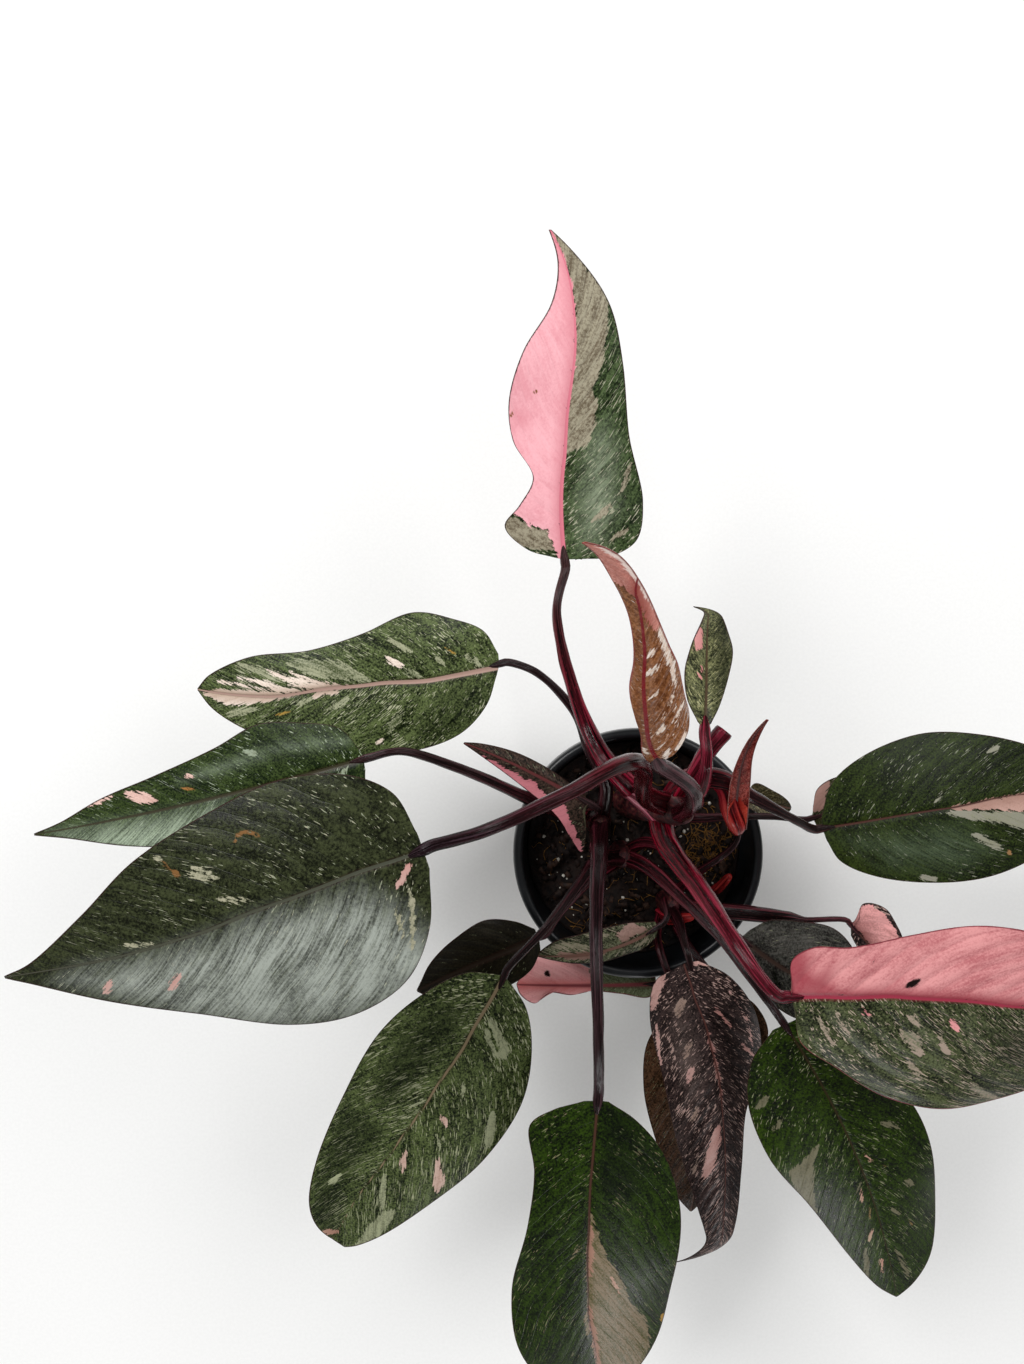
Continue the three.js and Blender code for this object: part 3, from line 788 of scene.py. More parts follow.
@dataclass
class Tube:
    """A closed bar along a route of (x, y, z, radius) points."""

    route: Sequence[Point]
    skin: Skin
    seed: float  # shifts its lumps

    def add_to(self, bm: Mesh) -> None:
        """Adds the bar with its attributes "run" and "parts".

        The first holds (distance, cosine, sine) and the second (part of the length, angle from the top).

        Args:
            bm: the bmesh that the bar is added to.
        """
        path, skin = Route(self.route), self.skin
        rows = max(6, round(path.length / skin.step))
        run, parts = layer(bm, "run"), layer(bm, "parts")
        cells = grid_cells(bm, rows, skin.sides)
        chord = path.at(1) - path.at(0)
        across = Vector((-chord.y, chord.x, 0))
        across = across.normalized() if across.length > 1e-6 else Vector((1, 0, 0))
        for i in range(rows + 1):
            part = i / rows
            share = path.share_at(part)
            centre, ahead, radius = path.at(share), path.ahead(share), path.carried_at(share)
            side = (across - ahead * across.dot(ahead)).normalized()
            up = ahead.cross(side)
            top = math.pi / 2 if up.z >= 0 else -math.pi / 2
            wide = 1 + (skin.flat - 1) * (1 - smooth_step(0.1, 0.75, part))
            for j in range(skin.sides + 1):
                angle = FULL_TURN * j / skin.sides
                cosine, sine = math.cos(angle), math.sin(angle)
                from_top = abs((angle - top + math.pi) % FULL_TURN - math.pi)
                lump = noise.noise(centre * skin.lump_scale + Vector((cosine, sine, self.seed)))
                reach = skin.reach(radius, part, part * path.length, angle, from_top) + skin.lumps * lump
                vert = cells[(i, j)]
                vert.co = centre + side * (reach * wide * cosine) + up * (reach / math.sqrt(wide) * sine)
                vert[run] = Vector((part * path.length, cosine, sine))
                vert[parts] = Vector((part, from_top, 0))
        bmesh.ops.remove_doubles(bm, verts=list(cells.values()), dist=MERGE)
        rims = [edge for edge in bm.edges if edge.is_boundary]
        caps = bmesh.ops.holes_fill(bm, edges=rims, sides=skin.sides + 1)["faces"]
        bmesh.ops.poke(bm, faces=caps)
        bmesh.ops.recalc_face_normals(bm, faces=bm.faces)


# ---------------- marks and leaves


def nearest_on(start: Place, end: Place, x: float, y: float) -> Place:
    """Finds the place of a straight line that is nearest to a point.

    Args:
        start: the line's first end.
        end: its second end.
        x: the point's first coordinate.
        y: its second.

    Returns:
        How far the point lies from the line, and at what share of the line.
    """
    (ax, ay), (bx, by) = start, end
    dx, dy = bx - ax, by - ay
    part = clamp(((x - ax) * dx + (y - ay) * dy) / ((dx * dx + dy * dy) or 1.0))
    return math.hypot(x - ax - dx * part, y - ay - dy * part), part


class Streak:
    """A tapered mark along a blade, through places of (share of the midrib, mm to its left)."""

    def __init__(self, half_width: float, *places: Place) -> None:
        """Keeps the half width of the middle, in mm, and the places one after the other."""
        self.half_width = half_width
        self.places = places

    def depth(self, x: float, y: float, length: float) -> float:
        """Measures how far a point lies inside the mark.

        Args:
            x: how far along the midrib it lies, in mm.
            y: how far to its left, in mm.
            length: the midrib's length.

        Returns:
            The depth in mm, negative outside.
        """
        line = [(share * length, across) for share, across in self.places]
        spans = len(line) - 1
        depths = []
        for k, (start, end) in enumerate(zip(line, line[1:])):
            gap, part = nearest_on(start, end, x, y)
            taper = (1 - (2 * (k + part) / spans - 1) ** 2 * 0.9) ** 0.6
            depths.append(self.half_width * taper - gap)
        return max(depths)


class Sector:
    """A many-sided mark on a blade, with corners at (share of the midrib, mm to its left)."""

    def __init__(self, *corners: Place) -> None:
        """Keeps the corners one after the other."""
        self.corners = corners

    def depth(self, x: float, y: float, length: float) -> float:
        """Measures how far a point lies inside the mark.

        Args:
            x: how far along the midrib it lies, in mm.
            y: how far to its left, in mm.
            length: the midrib's length.

        Returns:
            The depth in mm, negative outside.
        """
        line = [(share * length, across) for share, across in self.corners]
        sides = list(zip(line, [*line[1:], line[0]]))
        inside = False
        for (ax, ay), (bx, by) in sides:
            if (ay > y) != (by > y) and x < ax + (bx - ax) * (y - ay) / (by - ay):
                inside = not inside
        nearest = min(nearest_on(start, end, x, y)[0] for start, end in sides)
        return nearest if inside else -nearest


Marks = tuple[Union[Streak, Sector], ...]


@dataclass(frozen=True)
class Leaf:
    """One leaf: the shape of its midrib and margins, its stalk, its marks and its finishes.

    The outlines give (share of the midrib, distance from it in mm) from base to tip, and the stalk's
    route gives (x, y, z, radius) from its shoot to the blade.
    """

    name: str
    slot: Slot
    base: Point
    tip: Point
    left: Outline
    right: Outline
    bow: Place  # how far the midrib arches up, in mm
    sway: Place = (0, 0)  # how far it bends to the left
    fold: Place = (0, 0)  # how far the left and the right half are raised, in degrees
    curl: Place = (0, 0)  # how far each turns on from the midrib to its margin
    ripple: Point = (1, 2, 0)  # height in mm, number of waves, phase
    stalk: tuple[Point, ...] = ()
    face: Point = (0, 0, 1)
    hook: Point = (0, 0, 0)
    rib: Outline = ((0, 0), (1, 0))  # where the midrib's line wanders, in mm to the left
    finish: LeafFinish = LeafFinish()
    stalk_finish: StalkFinish = StalkFinish()
    pink: Marks = ()
    pale: Marks = ()
    scar: Marks = ()
    # marks where a painted sheen, a painted reflection, lies on the blade
    sheen: Marks = ()
    # marks where painted shade lies on the blade
    painted_shade: Marks = ()
    quilt: float = 0.06  # height of the pillows between the side veins, in mm

    @property
    def node(self) -> str:
        """The CAD node of the blade; the bract has no stalk, and its node has a name of its own."""
        return "blade_" + self.name if self.stalk else self.name

    @property
    def piece(self) -> str:
        """The name of the dressed blade."""
        return "leaf_" + self.name if self.stalk else "bract"


class BladeSurface:
    """The curved surface of one blade; places are (share of the midrib, mm to its left)."""

    def __init__(self, leaf: Leaf) -> None:
        """Works out the midrib, the frame across it and the curl of each half.

        Args:
            leaf: the leaf's sizes.
        """
        self.base, self.tip = Vector(leaf.base), Vector(leaf.tip)
        chord = self.tip - self.base
        self.length = chord.length
        forward = chord.normalized()
        face = Vector(leaf.face)
        up = (face - forward * face.dot(forward)).normalized()
        self.side = up.cross(forward)
        self.controls = [
            self.base,
            self.base + chord / 3 + self.side * leaf.sway[0] + up * leaf.bow[0],
            self.base + chord * 2 / 3 + self.side * leaf.sway[1] + up * leaf.bow[1],
            self.tip,
        ]
        self.hook = Vector(leaf.hook)
        self.fold = [math.radians(angle) for angle in leaf.fold]
        self.widest = [max(width for _, width in outline) for outline in (leaf.left, leaf.right)]
        self.curl = [math.radians(angle) / width for angle, width in zip(leaf.curl, self.widest)]
        self.ripple = leaf.ripple

    def ahead(self, share: float) -> Vector:
        """Returns the midrib's direction there."""
        q = clamp(share)
        late = max(0.0, q - HOOK_START) / (1 - HOOK_START)
        a, b, c, d = self.controls
        slope = (b - a) * (3 * (1 - q) ** 2) + (c - b) * (6 * (1 - q) * q) + (d - c) * (3 * q * q)
        return (slope.normalized() * self.length + self.hook * (2 * late / (1 - HOOK_START))).normalized()

    def spine(self, share: float) -> Vector:
        """Finds a point of the midrib.

        Args:
            share: the share of the midrib; the line runs straight on past both ends.

        Returns:
            The point.
        """
        if share < 0:
            return self.base + self.ahead(0) * (share * self.length)
        q = min(share, 1.0)
        late = max(0.0, q - HOOK_START) / (1 - HOOK_START)
        over = max(0.0, share - 1) * self.length
        a, b, c, d = self.controls
        rest = 1 - q
        point = a * rest**3 + b * (3 * rest * rest * q) + c * (3 * rest * q * q) + d * q**3
        return point + self.hook * (late * late) + self.ahead(1) * over

    def point(self, share: float, across: float) -> Vector:
        """Finds a point of the surface.

        Args:
            share: the share of the midrib.
            across: how far it lies to the midrib's left, in mm.

        Returns:
            The point.
        """
        half = 0 if across >= 0 else 1
        reach = abs(across)
        fold, curl = self.fold[half], self.curl[half]
        height, count, phase = self.ripple
        turned = fold + curl * reach
        outward = (math.sin(turned) - math.sin(fold)) / curl if curl else reach * math.cos(fold)
        bend = (math.cos(fold) - math.cos(turned)) / curl if curl else reach * math.sin(fold)
        wave = math.sin(2 * math.pi * count * share + phase + 1.7 * half)
        rise = bend + height * (reach / self.widest[half]) ** 2 * wave
        up = self.ahead(share).cross(self.side).normalized()
        return self.spine(share) + self.side * (-outward if half else outward) + up * rise


@dataclass
class Blade:
    """The blade of a leaf as a thin closed sheet with a sunken midrib, side veins and listed marks."""

    leaf: Leaf
    number: int
    thickness: float = 0.6
    rim_thickness: float = 0.45  # at the margin, as a share of the thickness
    rib_depth: float = 0.9  # how far the midrib stands out below
    rib_reach: float = 1.5
    groove: float = 0.45  # how deep the midrib is sunk in on top
    groove_reach: float = 1.1
    row_step: float = 0.95
    row_limits: tuple[int, int] = (36, 160)
    column_step: float = 0.8
    column_limits: tuple[int, int] = (10, 36)  # on each half
    mark_limits: Place = (-6.0, 14.0)  # depths in a mark beyond which nothing changes, in mm
    edge_limit: float = 20.0
    surface: BladeSurface = field(init=False)

    def __post_init__(self) -> None:
        """Works out the curved surface that the blade lies on."""
        self.surface = BladeSurface(self.leaf)

    def offsets(self, half: int) -> list[float]:
        """Returns the shares of the half blade at each column, closer at the midrib and at the margin."""
        steps = [j / half for j in range(half + 1)]
        return [t - 0.6 * math.sin(FULL_TURN * t) / FULL_TURN for t in steps]

    def rib_at(self, share: float) -> float:
        """Returns how far the midrib's line lies to the left there, in mm."""
        line = self.leaf.rib
        for (s0, m0), (s1, m1) in zip(line, line[1:]):
            if share <= s1:
                return m0 + (m1 - m0) * smooth_step(0, 1, (share - s0) / (s1 - s0))
        return line[-1][1]

    def vein_at(self, x: float, y: float) -> float:
        """Returns the side veins' coordinate, level along each vein; they lean further toward the tip."""
        wander = 1.1 * noise.noise(Vector((x * 0.06, y * 0.05, self.number * 3.7)))
        return x - abs(y) * (0.4 + 1.9 * max(x / self.surface.length, 0)) + wander

    def margin(self, outline: Outline) -> Route:
        """Returns one margin as (place along the midrib, distance from it) in mm, from base to tip."""
        length = self.surface.length
        places = [(share * length, width, 0.0) for share, width in outline]
        return Route([*places, (length, TIP_HALF_WIDTH, 0.0)])

    def mesh(self) -> Mesh:
        """Makes the sheet with its attributes "growth", "marks", "parts" and "cast"."""
        margins = [self.margin(outline) for outline in (self.leaf.left, self.leaf.right)]
        rows = round(clamp(max(m.length for m in margins) / self.row_step, *self.row_limits))
        half = round(clamp(max(self.surface.widest) / self.column_step, *self.column_limits))
        bm = bmesh.new()
        layers = {name: layer(bm, name) for name in ("growth", "marks", "parts", "cast")}
        cells = grid_cells(bm, rows, 2 * half)
        edges = self.lay(cells, layers, margins)
        ups = self.normals(cells)
        for place, vert in cells.items():
            vert.co += ups[place] * self.relief(vert, layers, edges[place])
        bmesh.ops.extrude_face_region(bm, geom=list(bm.faces), use_keep_orig=True)
        for place, vert in cells.items():
            rib = bell(vert[layers["growth"]].y, self.rib_reach) * (1 - place[0] / rows)
            full = self.rim_thickness + (1 - self.rim_thickness) * smooth_step(0, 1.6, edges[place])
            vert.co -= ups[place] * (self.thickness * full + self.rib_depth * rib)
            parts = vert[layers["parts"]]
            vert[layers["parts"]] = Vector((parts.x, parts.y, 1))
        bmesh.ops.recalc_face_normals(bm, faces=bm.faces)
        return bm

    def lay(self, cells: Cells, layers: Layers, margins: Sequence[Route]) -> dict[tuple[int, int], float]:
        """Lays a flat grid on the blade's curved surface and marks it.

        Args:
            cells: the grid's vertices.
            layers: its attribute layers by name.
            margins: the left and the right margin.

        Returns:
            How far each vertex lies from the margin, in mm.
        """
        rows, columns = max(cells)
        half = columns // 2
        offsets = self.offsets(half)
        edges = {}
        for i in range(rows + 1):
            midrib = (i / rows) ** ROW_LAG
            ends = [margin.at(margin.share_at(i / rows)) for margin in margins]
            for j in range(columns + 1):
                side = 0 if j >= half else 1
                offset = offsets[abs(j - half)]
                share = midrib + (ends[side].x / self.surface.length - midrib) * offset
                across = (-1 if side else 1) * ends[side].y * offset
                edges[(i, j)] = ends[side].y * (1 - offset)
                cells[(i, j)].co = self.surface.point(share, across)
                self.mark(cells[(i, j)], layers, share, across, edges[(i, j)])
        return edges

    def depth(self, marks: Marks, x: float, across: float) -> float:
        """Returns how far a point lies inside the nearest of some marks, in mm."""
        low, high = self.mark_limits
        return min(high, max([low, *(mark.depth(x, across, self.surface.length) for mark in marks)]))

    def mark(self, vert: Vert, layers: Layers, share: float, across: float, edge: float) -> None:
        """Writes what the finish reads at one vertex.

        Args:
            vert: the vertex.
            layers: its attribute layers by name.
            share: its share of the midrib.
            across: how far it lies to the midrib's left, in mm.
            edge: how far it lies from the margin, in mm.
        """
        x = share * self.surface.length
        from_rib = across - self.rib_at(share)
        vein = self.vein_at(x, from_rib)
        leaf, finish = self.leaf, self.leaf.finish
        rib_width = finish.rib_width * (1 - 0.75 * clamp(share))
        pillow = abs(math.sin(vein * math.pi / finish.vein_step)) ** 0.6
        # how deep the vertex lies in the painted sheen and in the painted shade
        sheen = smooth_step(-4, 13, self.depth(leaf.sheen, x, across))
        painted_shade = smooth_step(-2.5, 6, self.depth(leaf.painted_shade, x, across))
        depths = [self.depth(marks, x, across) for marks in (leaf.pink, leaf.pale, leaf.scar)]
        vert[layers["growth"]] = Vector((x, from_rib, vein))
        vert[layers["marks"]] = Vector(depths)
        vert[layers["parts"]] = Vector((abs(from_rib) / rib_width, min(edge, self.edge_limit), 0))
        vert[layers["cast"]] = Vector((sheen, pillow, painted_shade))

    def relief(self, vert: Vert, layers: Layers, edge: float) -> float:
        """Works out how far a vertex stands out of the plain surface.

        Args:
            vert: the vertex.
            layers: its attribute layers by name.
            edge: how far it lies from the margin, in mm.

        Returns:
            The height in mm.
        """
        from_rib = vert[layers["growth"]].y
        share = vert[layers["growth"]].x / self.surface.length
        inside = smooth_step(0.5, 5.0, edge) * smooth_step(0.8, 5.0, abs(from_rib))
        pillow = vert[layers["cast"]].y - 0.55
        groove = self.groove * (1 - 0.7 * share) * bell(from_rib, self.groove_reach)
        return self.leaf.quilt * pillow * inside - groove

    def normals(self, cells: Cells) -> dict[tuple[int, int], Vector]:
        """Works out the way up at each vertex.

        Args:
            cells: the grid's vertices.

        Returns:
            The unit vector at each (row, column).
        """
        rows, columns = max(cells)
        ups = {}
        for i, j in cells:
            ahead = cells[(min(i + 1, rows), j)].co - cells[(max(i - 1, 0), j)].co
            left = cells[(i, min(j + 1, columns))].co - cells[(i, max(j - 1, 0))].co
            ups[(i, j)] = ahead.cross(left).normalized()
        return ups

    def build(self) -> Piece:
        """Makes the dressed blade."""
        material = self.leaf.finish.material(self.leaf.piece + "_finish", self.number * 11.3)
        return cast(self.mesh(), self.leaf.piece, material, self.leaf.slot, self.leaf.node)


@dataclass
class Stalk:
    """The stalk of a leaf, with a furrow on top and a sheathed, ribbed foot."""

    leaf: Leaf
    number: int
    run_in: float = 3.0  # straight length of stalk in line with the blade
    tongue: float = 6.0  # length that runs on below the midrib
    taper: float = 0.18  # how much slimmer than its solid it is at the blade
    skin: Skin = Skin(step=1.4, groove=0.16, sheath=0.3, ribs=0.06, flat=1.15, lumps=0.25)

    def route(self) -> list[Point]:
        """Returns the stalk's route, which ends in a tongue under the blade's midrib."""
        surface = BladeSurface(self.leaf)
        ahead = surface.ahead(0)
        up = ahead.cross(surface.side)
        points = self.leaf.stalk
        last = len(points) - 1
        line = [(*place[:3], place[3] * (1 - self.taper * i / last)) for i, place in enumerate(points)]
        radius = line[-1][3]
        before = surface.base - ahead * self.run_in
        joint = surface.base - ahead * 0.3 - up * 0.3
        tongue = surface.base + ahead * self.tongue - up * (radius * 0.8)
        return [*line, (*before, radius), (*joint, radius), (*tongue, radius * 0.4)]

    def build(self) -> Piece:
        """Makes the dressed stalk."""
        leaf = self.leaf
        bm = bmesh.new()
        Tube(self.route(), self.skin, self.number * 5.1).add_to(bm)
        material = leaf.stalk_finish.material("stalk_" + leaf.name + "_finish", self.number * 2.3)
        slot = Slot.YOUNG_STALK if leaf.slot is Slot.BRONZE else Slot.STALK
        return cast(bm, "petiole_" + leaf.name, material, slot, "stalk_" + leaf.name)


# ---------------- shoots, pot and soil


@dataclass(frozen=True)
class Shoot:
    """One of the short woody shoots that carry the stalks, with swollen rings."""

    name: str
    route: tuple[Point, ...]
    skin: Skin = Skin(sides=28, step=1.2, rings=0.5, ribs=0.04, lumps=0.5)

    def build(self, number: int, bark: Material) -> Piece:
        """Makes the dressed shoot.

        Args:
            number: shifts its lumps.
            bark: the finish of all shoots.

        Returns:
            The new piece.
        """
        bm = bmesh.new()
        Tube(self.route, self.skin, number * 7.7).add_to(bm)
        return cast(bm, "shoot_" + self.name, bark, Slot.STEM, "stem_" + self.name)


@dataclass(frozen=True)
class Bud:
    """A bud, the foot of a bract or another small red form beside the shoots."""

    name: str
    finish: StalkFinish
    route: tuple[Point, ...]
    skin: Skin = Skin(sides=18, step=0.9, groove=0.2, ribs=0.06, lumps=0.3)

    def build(self, number: int) -> Piece:
        """Makes the dressed bud.

        Args:
            number: shifts its lumps and its stripes.

        Returns:
            The new piece.
        """
        bm = bmesh.new()
        Tube(self.route, self.skin, number * 3.1).add_to(bm)
        material = self.finish.material(self.name + "_finish", number * 4.0)
        return cast(bm, self.name, material, Slot.YOUNG_STALK)


@dataclass
class Pot:
    """The round nursery pot, open at the top, with a rolled lip and five drain holes."""

    wall: Outline = (
        (36.4, 0), (37.2, 0.2), (37.8, 0.8), (38, 1.6), (40.6, 21), (43.4, 42), (46.2, 63), (48.3, 79),
        (48.6, 80.7), (49.3, 81.6), (50.9, 82), (51.9, 82.5), (52.4, 83.3), (52.5, 84.2), (52.5, 89.5),
        (52.3, 90.8), (51.7, 91.6), (50.8, 92), (49.9, 92), (49.1, 91.8), (48.6, 91.2), (48.35, 90.4),
        (47.9, 86), (47.75, 85), (47, 78), (43.6, 54), (40.2, 28), (36.6, 2),
    )
    steps: int = 128
    floor_top: float = 2.0
    drain_ring: float = 24
    drain_radius: float = 4.5
    drain_segments: int = 28
    drains: int = 5

    def mesh(self) -> Mesh:
        """Spins the wall and fills the floor round its holes."""
        bm = bmesh.new()
        spin_outline(bm, self.wall, self.steps)
        rims = [edge for edge in bm.edges if edge.is_boundary]
        below = [edge for edge in rims if edge.verts[0].co.z < self.floor_top / 2]
        above = [edge for edge in rims if edge.verts[0].co.z >= self.floor_top / 2]
        for k in range(self.drains):
            angle = FULL_TURN * k / self.drains
            centre = Vector((self.drain_ring * math.cos(angle), self.drain_ring * math.sin(angle), 0))
            foot = self.drain_edges(bm, centre)
            top = self.drain_edges(bm, centre + Vector((0, 0, self.floor_top)))
            bmesh.ops.bridge_loops(bm, edges=[*foot, *top])
            below += foot
            above += top
        for edges in (below, above):
            bmesh.ops.triangle_fill(bm, use_beauty=True, edges=edges)
        bmesh.ops.remove_doubles(bm, verts=bm.verts, dist=MERGE)
        bmesh.ops.recalc_face_normals(bm, faces=bm.faces)
        return bm

    def drain_edges(self, bm: Mesh, centre: Vector) -> list[bmesh.types.BMEdge]:
        """Adds one edge circle of a drain hole.

        Args:
            bm: the pot.
            centre: the circle's middle.

        Returns:
            The circle's edges.
        """
        place = Matrix.Translation(centre)
        circle = bmesh.ops.create_circle(
            bm, segments=self.drain_segments, radius=self.drain_radius, matrix=place
        )
        return list(dict.fromkeys(edge for vert in circle["verts"] for edge in vert.link_edges))

    def build(self) -> Piece:
        """Makes the dressed pot."""
        return cast(self.mesh(), "nursery_pot", PotFinish().material(), Slot.POT, "pot")


@dataclass
class Soil:
    """Potting soil with crumbs, perlite, bark and coir."""

    bottom: float = 2.4
    foot_radius: float = 36
    middle: Place = (41.0, 38.0)  # radius and height where its side bends
    edge_radius: float = 46
    edge_height: float = 73.5
    crown: float = 2.5  # rise from the edge to the middle
    lump: float = 1.1
    rings: int = 52
    steps: int = 170
    perlite: int = 170
    perlite_sizes: Point = (0.25, 0.3, 0.4, 0.5, 0.9)
    crumbs: int = 700
    crumb_sizes: Point = (0.6, 0.8, 1.1, 1.5, 2.1)
    chips: int = 130
    fibres: int = 170
    fibre_radius: float = 0.13
    fibre_skin: Skin = Skin(sides=5, step=1.4)
    seed: int = 11

    def ground(self, x: float, y: float) -> float:
        """Works out the height of the soil's top.

        Args:
            x: the place's first coordinate.
            y: its second.

        Returns:
            The height in mm.
        """
        share = min(1.0, math.hypot(x, y) / self.edge_radius)
        waves = math.sin(x * 0.41 + 1) * math.cos(y * 0.37) + math.sin(x * 0.23 - y * 0.31 + 2)
        coarse = noise.noise(Vector((x * 0.33, y * 0.33, 3.1))) * 1.5
        medium = noise.noise(Vector((x * 0.8, y * 0.8, 9.4))) * 1.1
        fine = noise.noise(Vector((x * 1.9, y * 1.9, 5.5))) * 0.5
        plain = self.edge_height + self.crown * (1 - share**2)
        waved = plain + self.lump * waves * min(1.0, 3 * (1 - share))
        return waved + (coarse + medium + fine) * min(1.0, 6 * (1 - share) + 0.35)

    def body(self) -> Mesh:
        """Spins the soil's closed outline and raises its crumbs."""
        foot = [(0.0, self.bottom), (self.foot_radius, self.bottom), self.middle]
        radii = [self.edge_radius * (i / self.rings) ** 0.8 for i in range(self.rings, -1, -1)]
        bm = bmesh.new()
        spin_outline(bm, [*foot, *((radius, self.edge_height) for radius in radii)], self.steps)
        bmesh.ops.remove_doubles(bm, verts=bm.verts, dist=MERGE)
        for vert in bm.verts:
            if vert.co.z > self.edge_height - 1:
                vert.co.z = self.ground(vert.co.x, vert.co.y)
        bmesh.ops.recalc_face_normals(bm, faces=bm.faces)
        return bm

    def spot(self, dice: random.Random, reach: float = 44.0) -> Vector:
        """Returns a random place on the soil's top."""
        angle, radius = dice.uniform(0, FULL_TURN), reach * math.sqrt(dice.random())
        x, y = radius * math.cos(angle), radius * math.sin(angle)
        return Vector((x, y, self.ground(x, y)))

    def perlite_mesh(self) -> Mesh:
        """Scatters grains of perlite."""
        dice = random.Random(self.seed)
        bm = bmesh.new()
        for _ in range(self.perlite):
            size = dice.choice(self.perlite_sizes)
            middle = self.spot(dice) + Vector((0, 0, size * 0.35))
            place = Matrix.Translation(middle)
            grain = bmesh.ops.create_icosphere(bm, subdivisions=1, radius=size, matrix=place)["verts"]
            shift = Vector((dice.random(), dice.random(), dice.random())) * 20
            for vert in grain:
                out = vert.co - middle
                vert.co = middle + out * (1 + 0.38 * noise.noise(out * (1.3 / size) + shift))
        return bm

    def crumb_mesh(self) -> Mesh:
        """Heaps crumbs of peat on the top."""
        dice = random.Random(self.seed + 3)
        bm = bmesh.new()
        for _ in range(self.crumbs):
            size = dice.choice(self.crumb_sizes)
            place = Matrix.Translation(self.spot(dice, 45 - size) + Vector((0, 0, size * 0.2)))
            flat = Matrix.Diagonal((1, dice.uniform(0.6, 1), dice.uniform(0.5, 0.9), 1))
            turn = Matrix.Rotation(dice.uniform(0, FULL_TURN), 4, "Z")
            bmesh.ops.create_icosphere(bm, subdivisions=1, radius=size, matrix=place @ turn @ flat)
        for vert in bm.verts:
            vert.co += noise.noise_vector(vert.co * 0.8) * 0.5
        return bm

    def chip_mesh(self) -> Mesh:
        """Scatters splinters of bark."""
        dice = random.Random(self.seed + 1)
        bm = bmesh.new()
        for _ in range(self.chips):
            turn = Matrix.Rotation(dice.uniform(0, FULL_TURN), 4, "Z")
            tilt = Matrix.Rotation(dice.uniform(-0.5, 0.5), 4, "Y")
            size = [dice.uniform(2.5, 7), dice.uniform(1.2, 2.8), dice.uniform(0.8, 1.6)]
            place = Matrix.Translation(self.spot(dice, 42) + Vector((0, 0, 0.3)))
            bmesh.ops.create_cube(bm, size=1.0, matrix=place @ turn @ tilt @ Matrix.Diagonal((*size, 1)))
        bmesh.ops.subdivide_edges(bm, edges=bm.edges, cuts=1, use_grid_fill=True)
        for vert in bm.verts:
            vert.co += noise.noise_vector(vert.co * 0.9) * 0.45
        return bm

    def fibre_mesh(self) -> Mesh:
        """Scatters curled threads of coir, most of them near the right side."""
        dice = random.Random(self.seed + 2)
        bm = bmesh.new()
        for number in range(self.fibres):
            start = self.spot(dice, 40)
            if number % 2:
                start = Vector((dice.gauss(32, 4), dice.gauss(0, 5), 0))
            heading = dice.uniform(0, FULL_TURN)
            route = []
            for step in range(5):
                heading += dice.uniform(-0.8, 0.8)
                ahead = Vector((math.cos(heading), math.sin(heading), 0))
                spot = start + ahead * (step * dice.uniform(1.0, 2.6))
                spot *= min(1.0, 44.5 / max(math.hypot(spot.x, spot.y), 1e-3))
                height = self.ground(spot.x, spot.y) + dice.uniform(0.1, 1.3)
                route.append((spot.x, spot.y, height, self.fibre_radius))
            Tube(route, self.fibre_skin, number).add_to(bm)
        return bm

    def build(self) -> list[Piece]:
        """Makes the dressed soil and what lies on it."""
        noise.seed_set(self.seed)  # otherwise noise_vector differs from run to run
        earth = CrumbFinish().material("soil_crumb")
        return [
            cast(self.body(), "potting_soil", earth, Slot.SOIL, "soil"),
            cast(self.crumb_mesh(), "peat_crumbs", earth, Slot.SOIL),
            cast(self.perlite_mesh(), "perlite_grains", PERLITE.material("perlite"), Slot.SOIL),
            cast(self.chip_mesh(), "bark_splinters", BARK.material("bark_splinter"), Slot.SOIL),
            cast(self.fibre_mesh(), "coir_threads", COIR.material("coir"), Slot.SOIL),
        ]


# ---------------- what this plant is made of

PERLITE = CrumbFinish("8f8a80", "d8d4ca", "f3f1ea", specks=0.5, scale=900.0, roughness=0.9, bump=0.3)
BARK = CrumbFinish("120a08", "38241a", "6a4c36", specks=0.35, scale=500.0, roughness=0.7, bump=0.5)
COIR = CrumbFinish("54381a", "8c642c", "b08a4a", specks=0.4, scale=700.0, roughness=0.8, bump=0.2)

GREEN = LeafFinish()
DEEP = replace(GREEN, dark="080a05", light="322c1e", fleck="7c806a", flecks=0.15, rib="3c2e28")
STRIPED = replace(GREEN, dark="2c3018", light="55563c", fleck="a59a86", flecks=0.75)
PURPLE = replace(
    GREEN, dark="060304", light="4c3c3a", fleck="c4a49c", flecks=0.72, pink="cda49c",
    deep_pink="96665f", pale="a28a7e", deep_pale="6e5a50", rib="54342f", rib_width=0.4, vein="150d0c",
    under="3a2620", painted_sheen="80706a",
)
# Its pale and scar colours are painted highlights for the unfurling leaf's pillows and tip.
COPPER = LeafFinish(
    dark="683610", light="aa7044", fleck="d8b49c", flecks=0.1, pink="f2ab9c", deep_pink="98301f",
    pale="fff2e6", deep_pale="e6c0a4", scar="ffe9df", rib="80000f", rib_width=0.9, shade=0.0,
    vein="5a2412", vein_step=5.0, margin="8a4038", under="6a3a2c", roughness=0.26, relief=0.9,
    coat=0.15,
)
BROWN_STALK = StalkFinish(foot="1e0a0c", head="1e1312", blush="4a1c24", stripe="46262c")
RED_STALK = StalkFinish(
    foot="46060f", head="4a0c18", blush="92142e", stripe="962c42", dark="1a0406", roughness=0.15
)
RED_BUD = StalkFinish(
    foot="6a0c1a", head="8a1c1e", blush="b42c3c", stripe="b84a40", dark="2c0508", stripes=0.5
)
PINK_SHEATH = StalkFinish(foot="5c2830", head="5c1424", blush="a8707a", stripe="a8405a", dark="2c0a10")

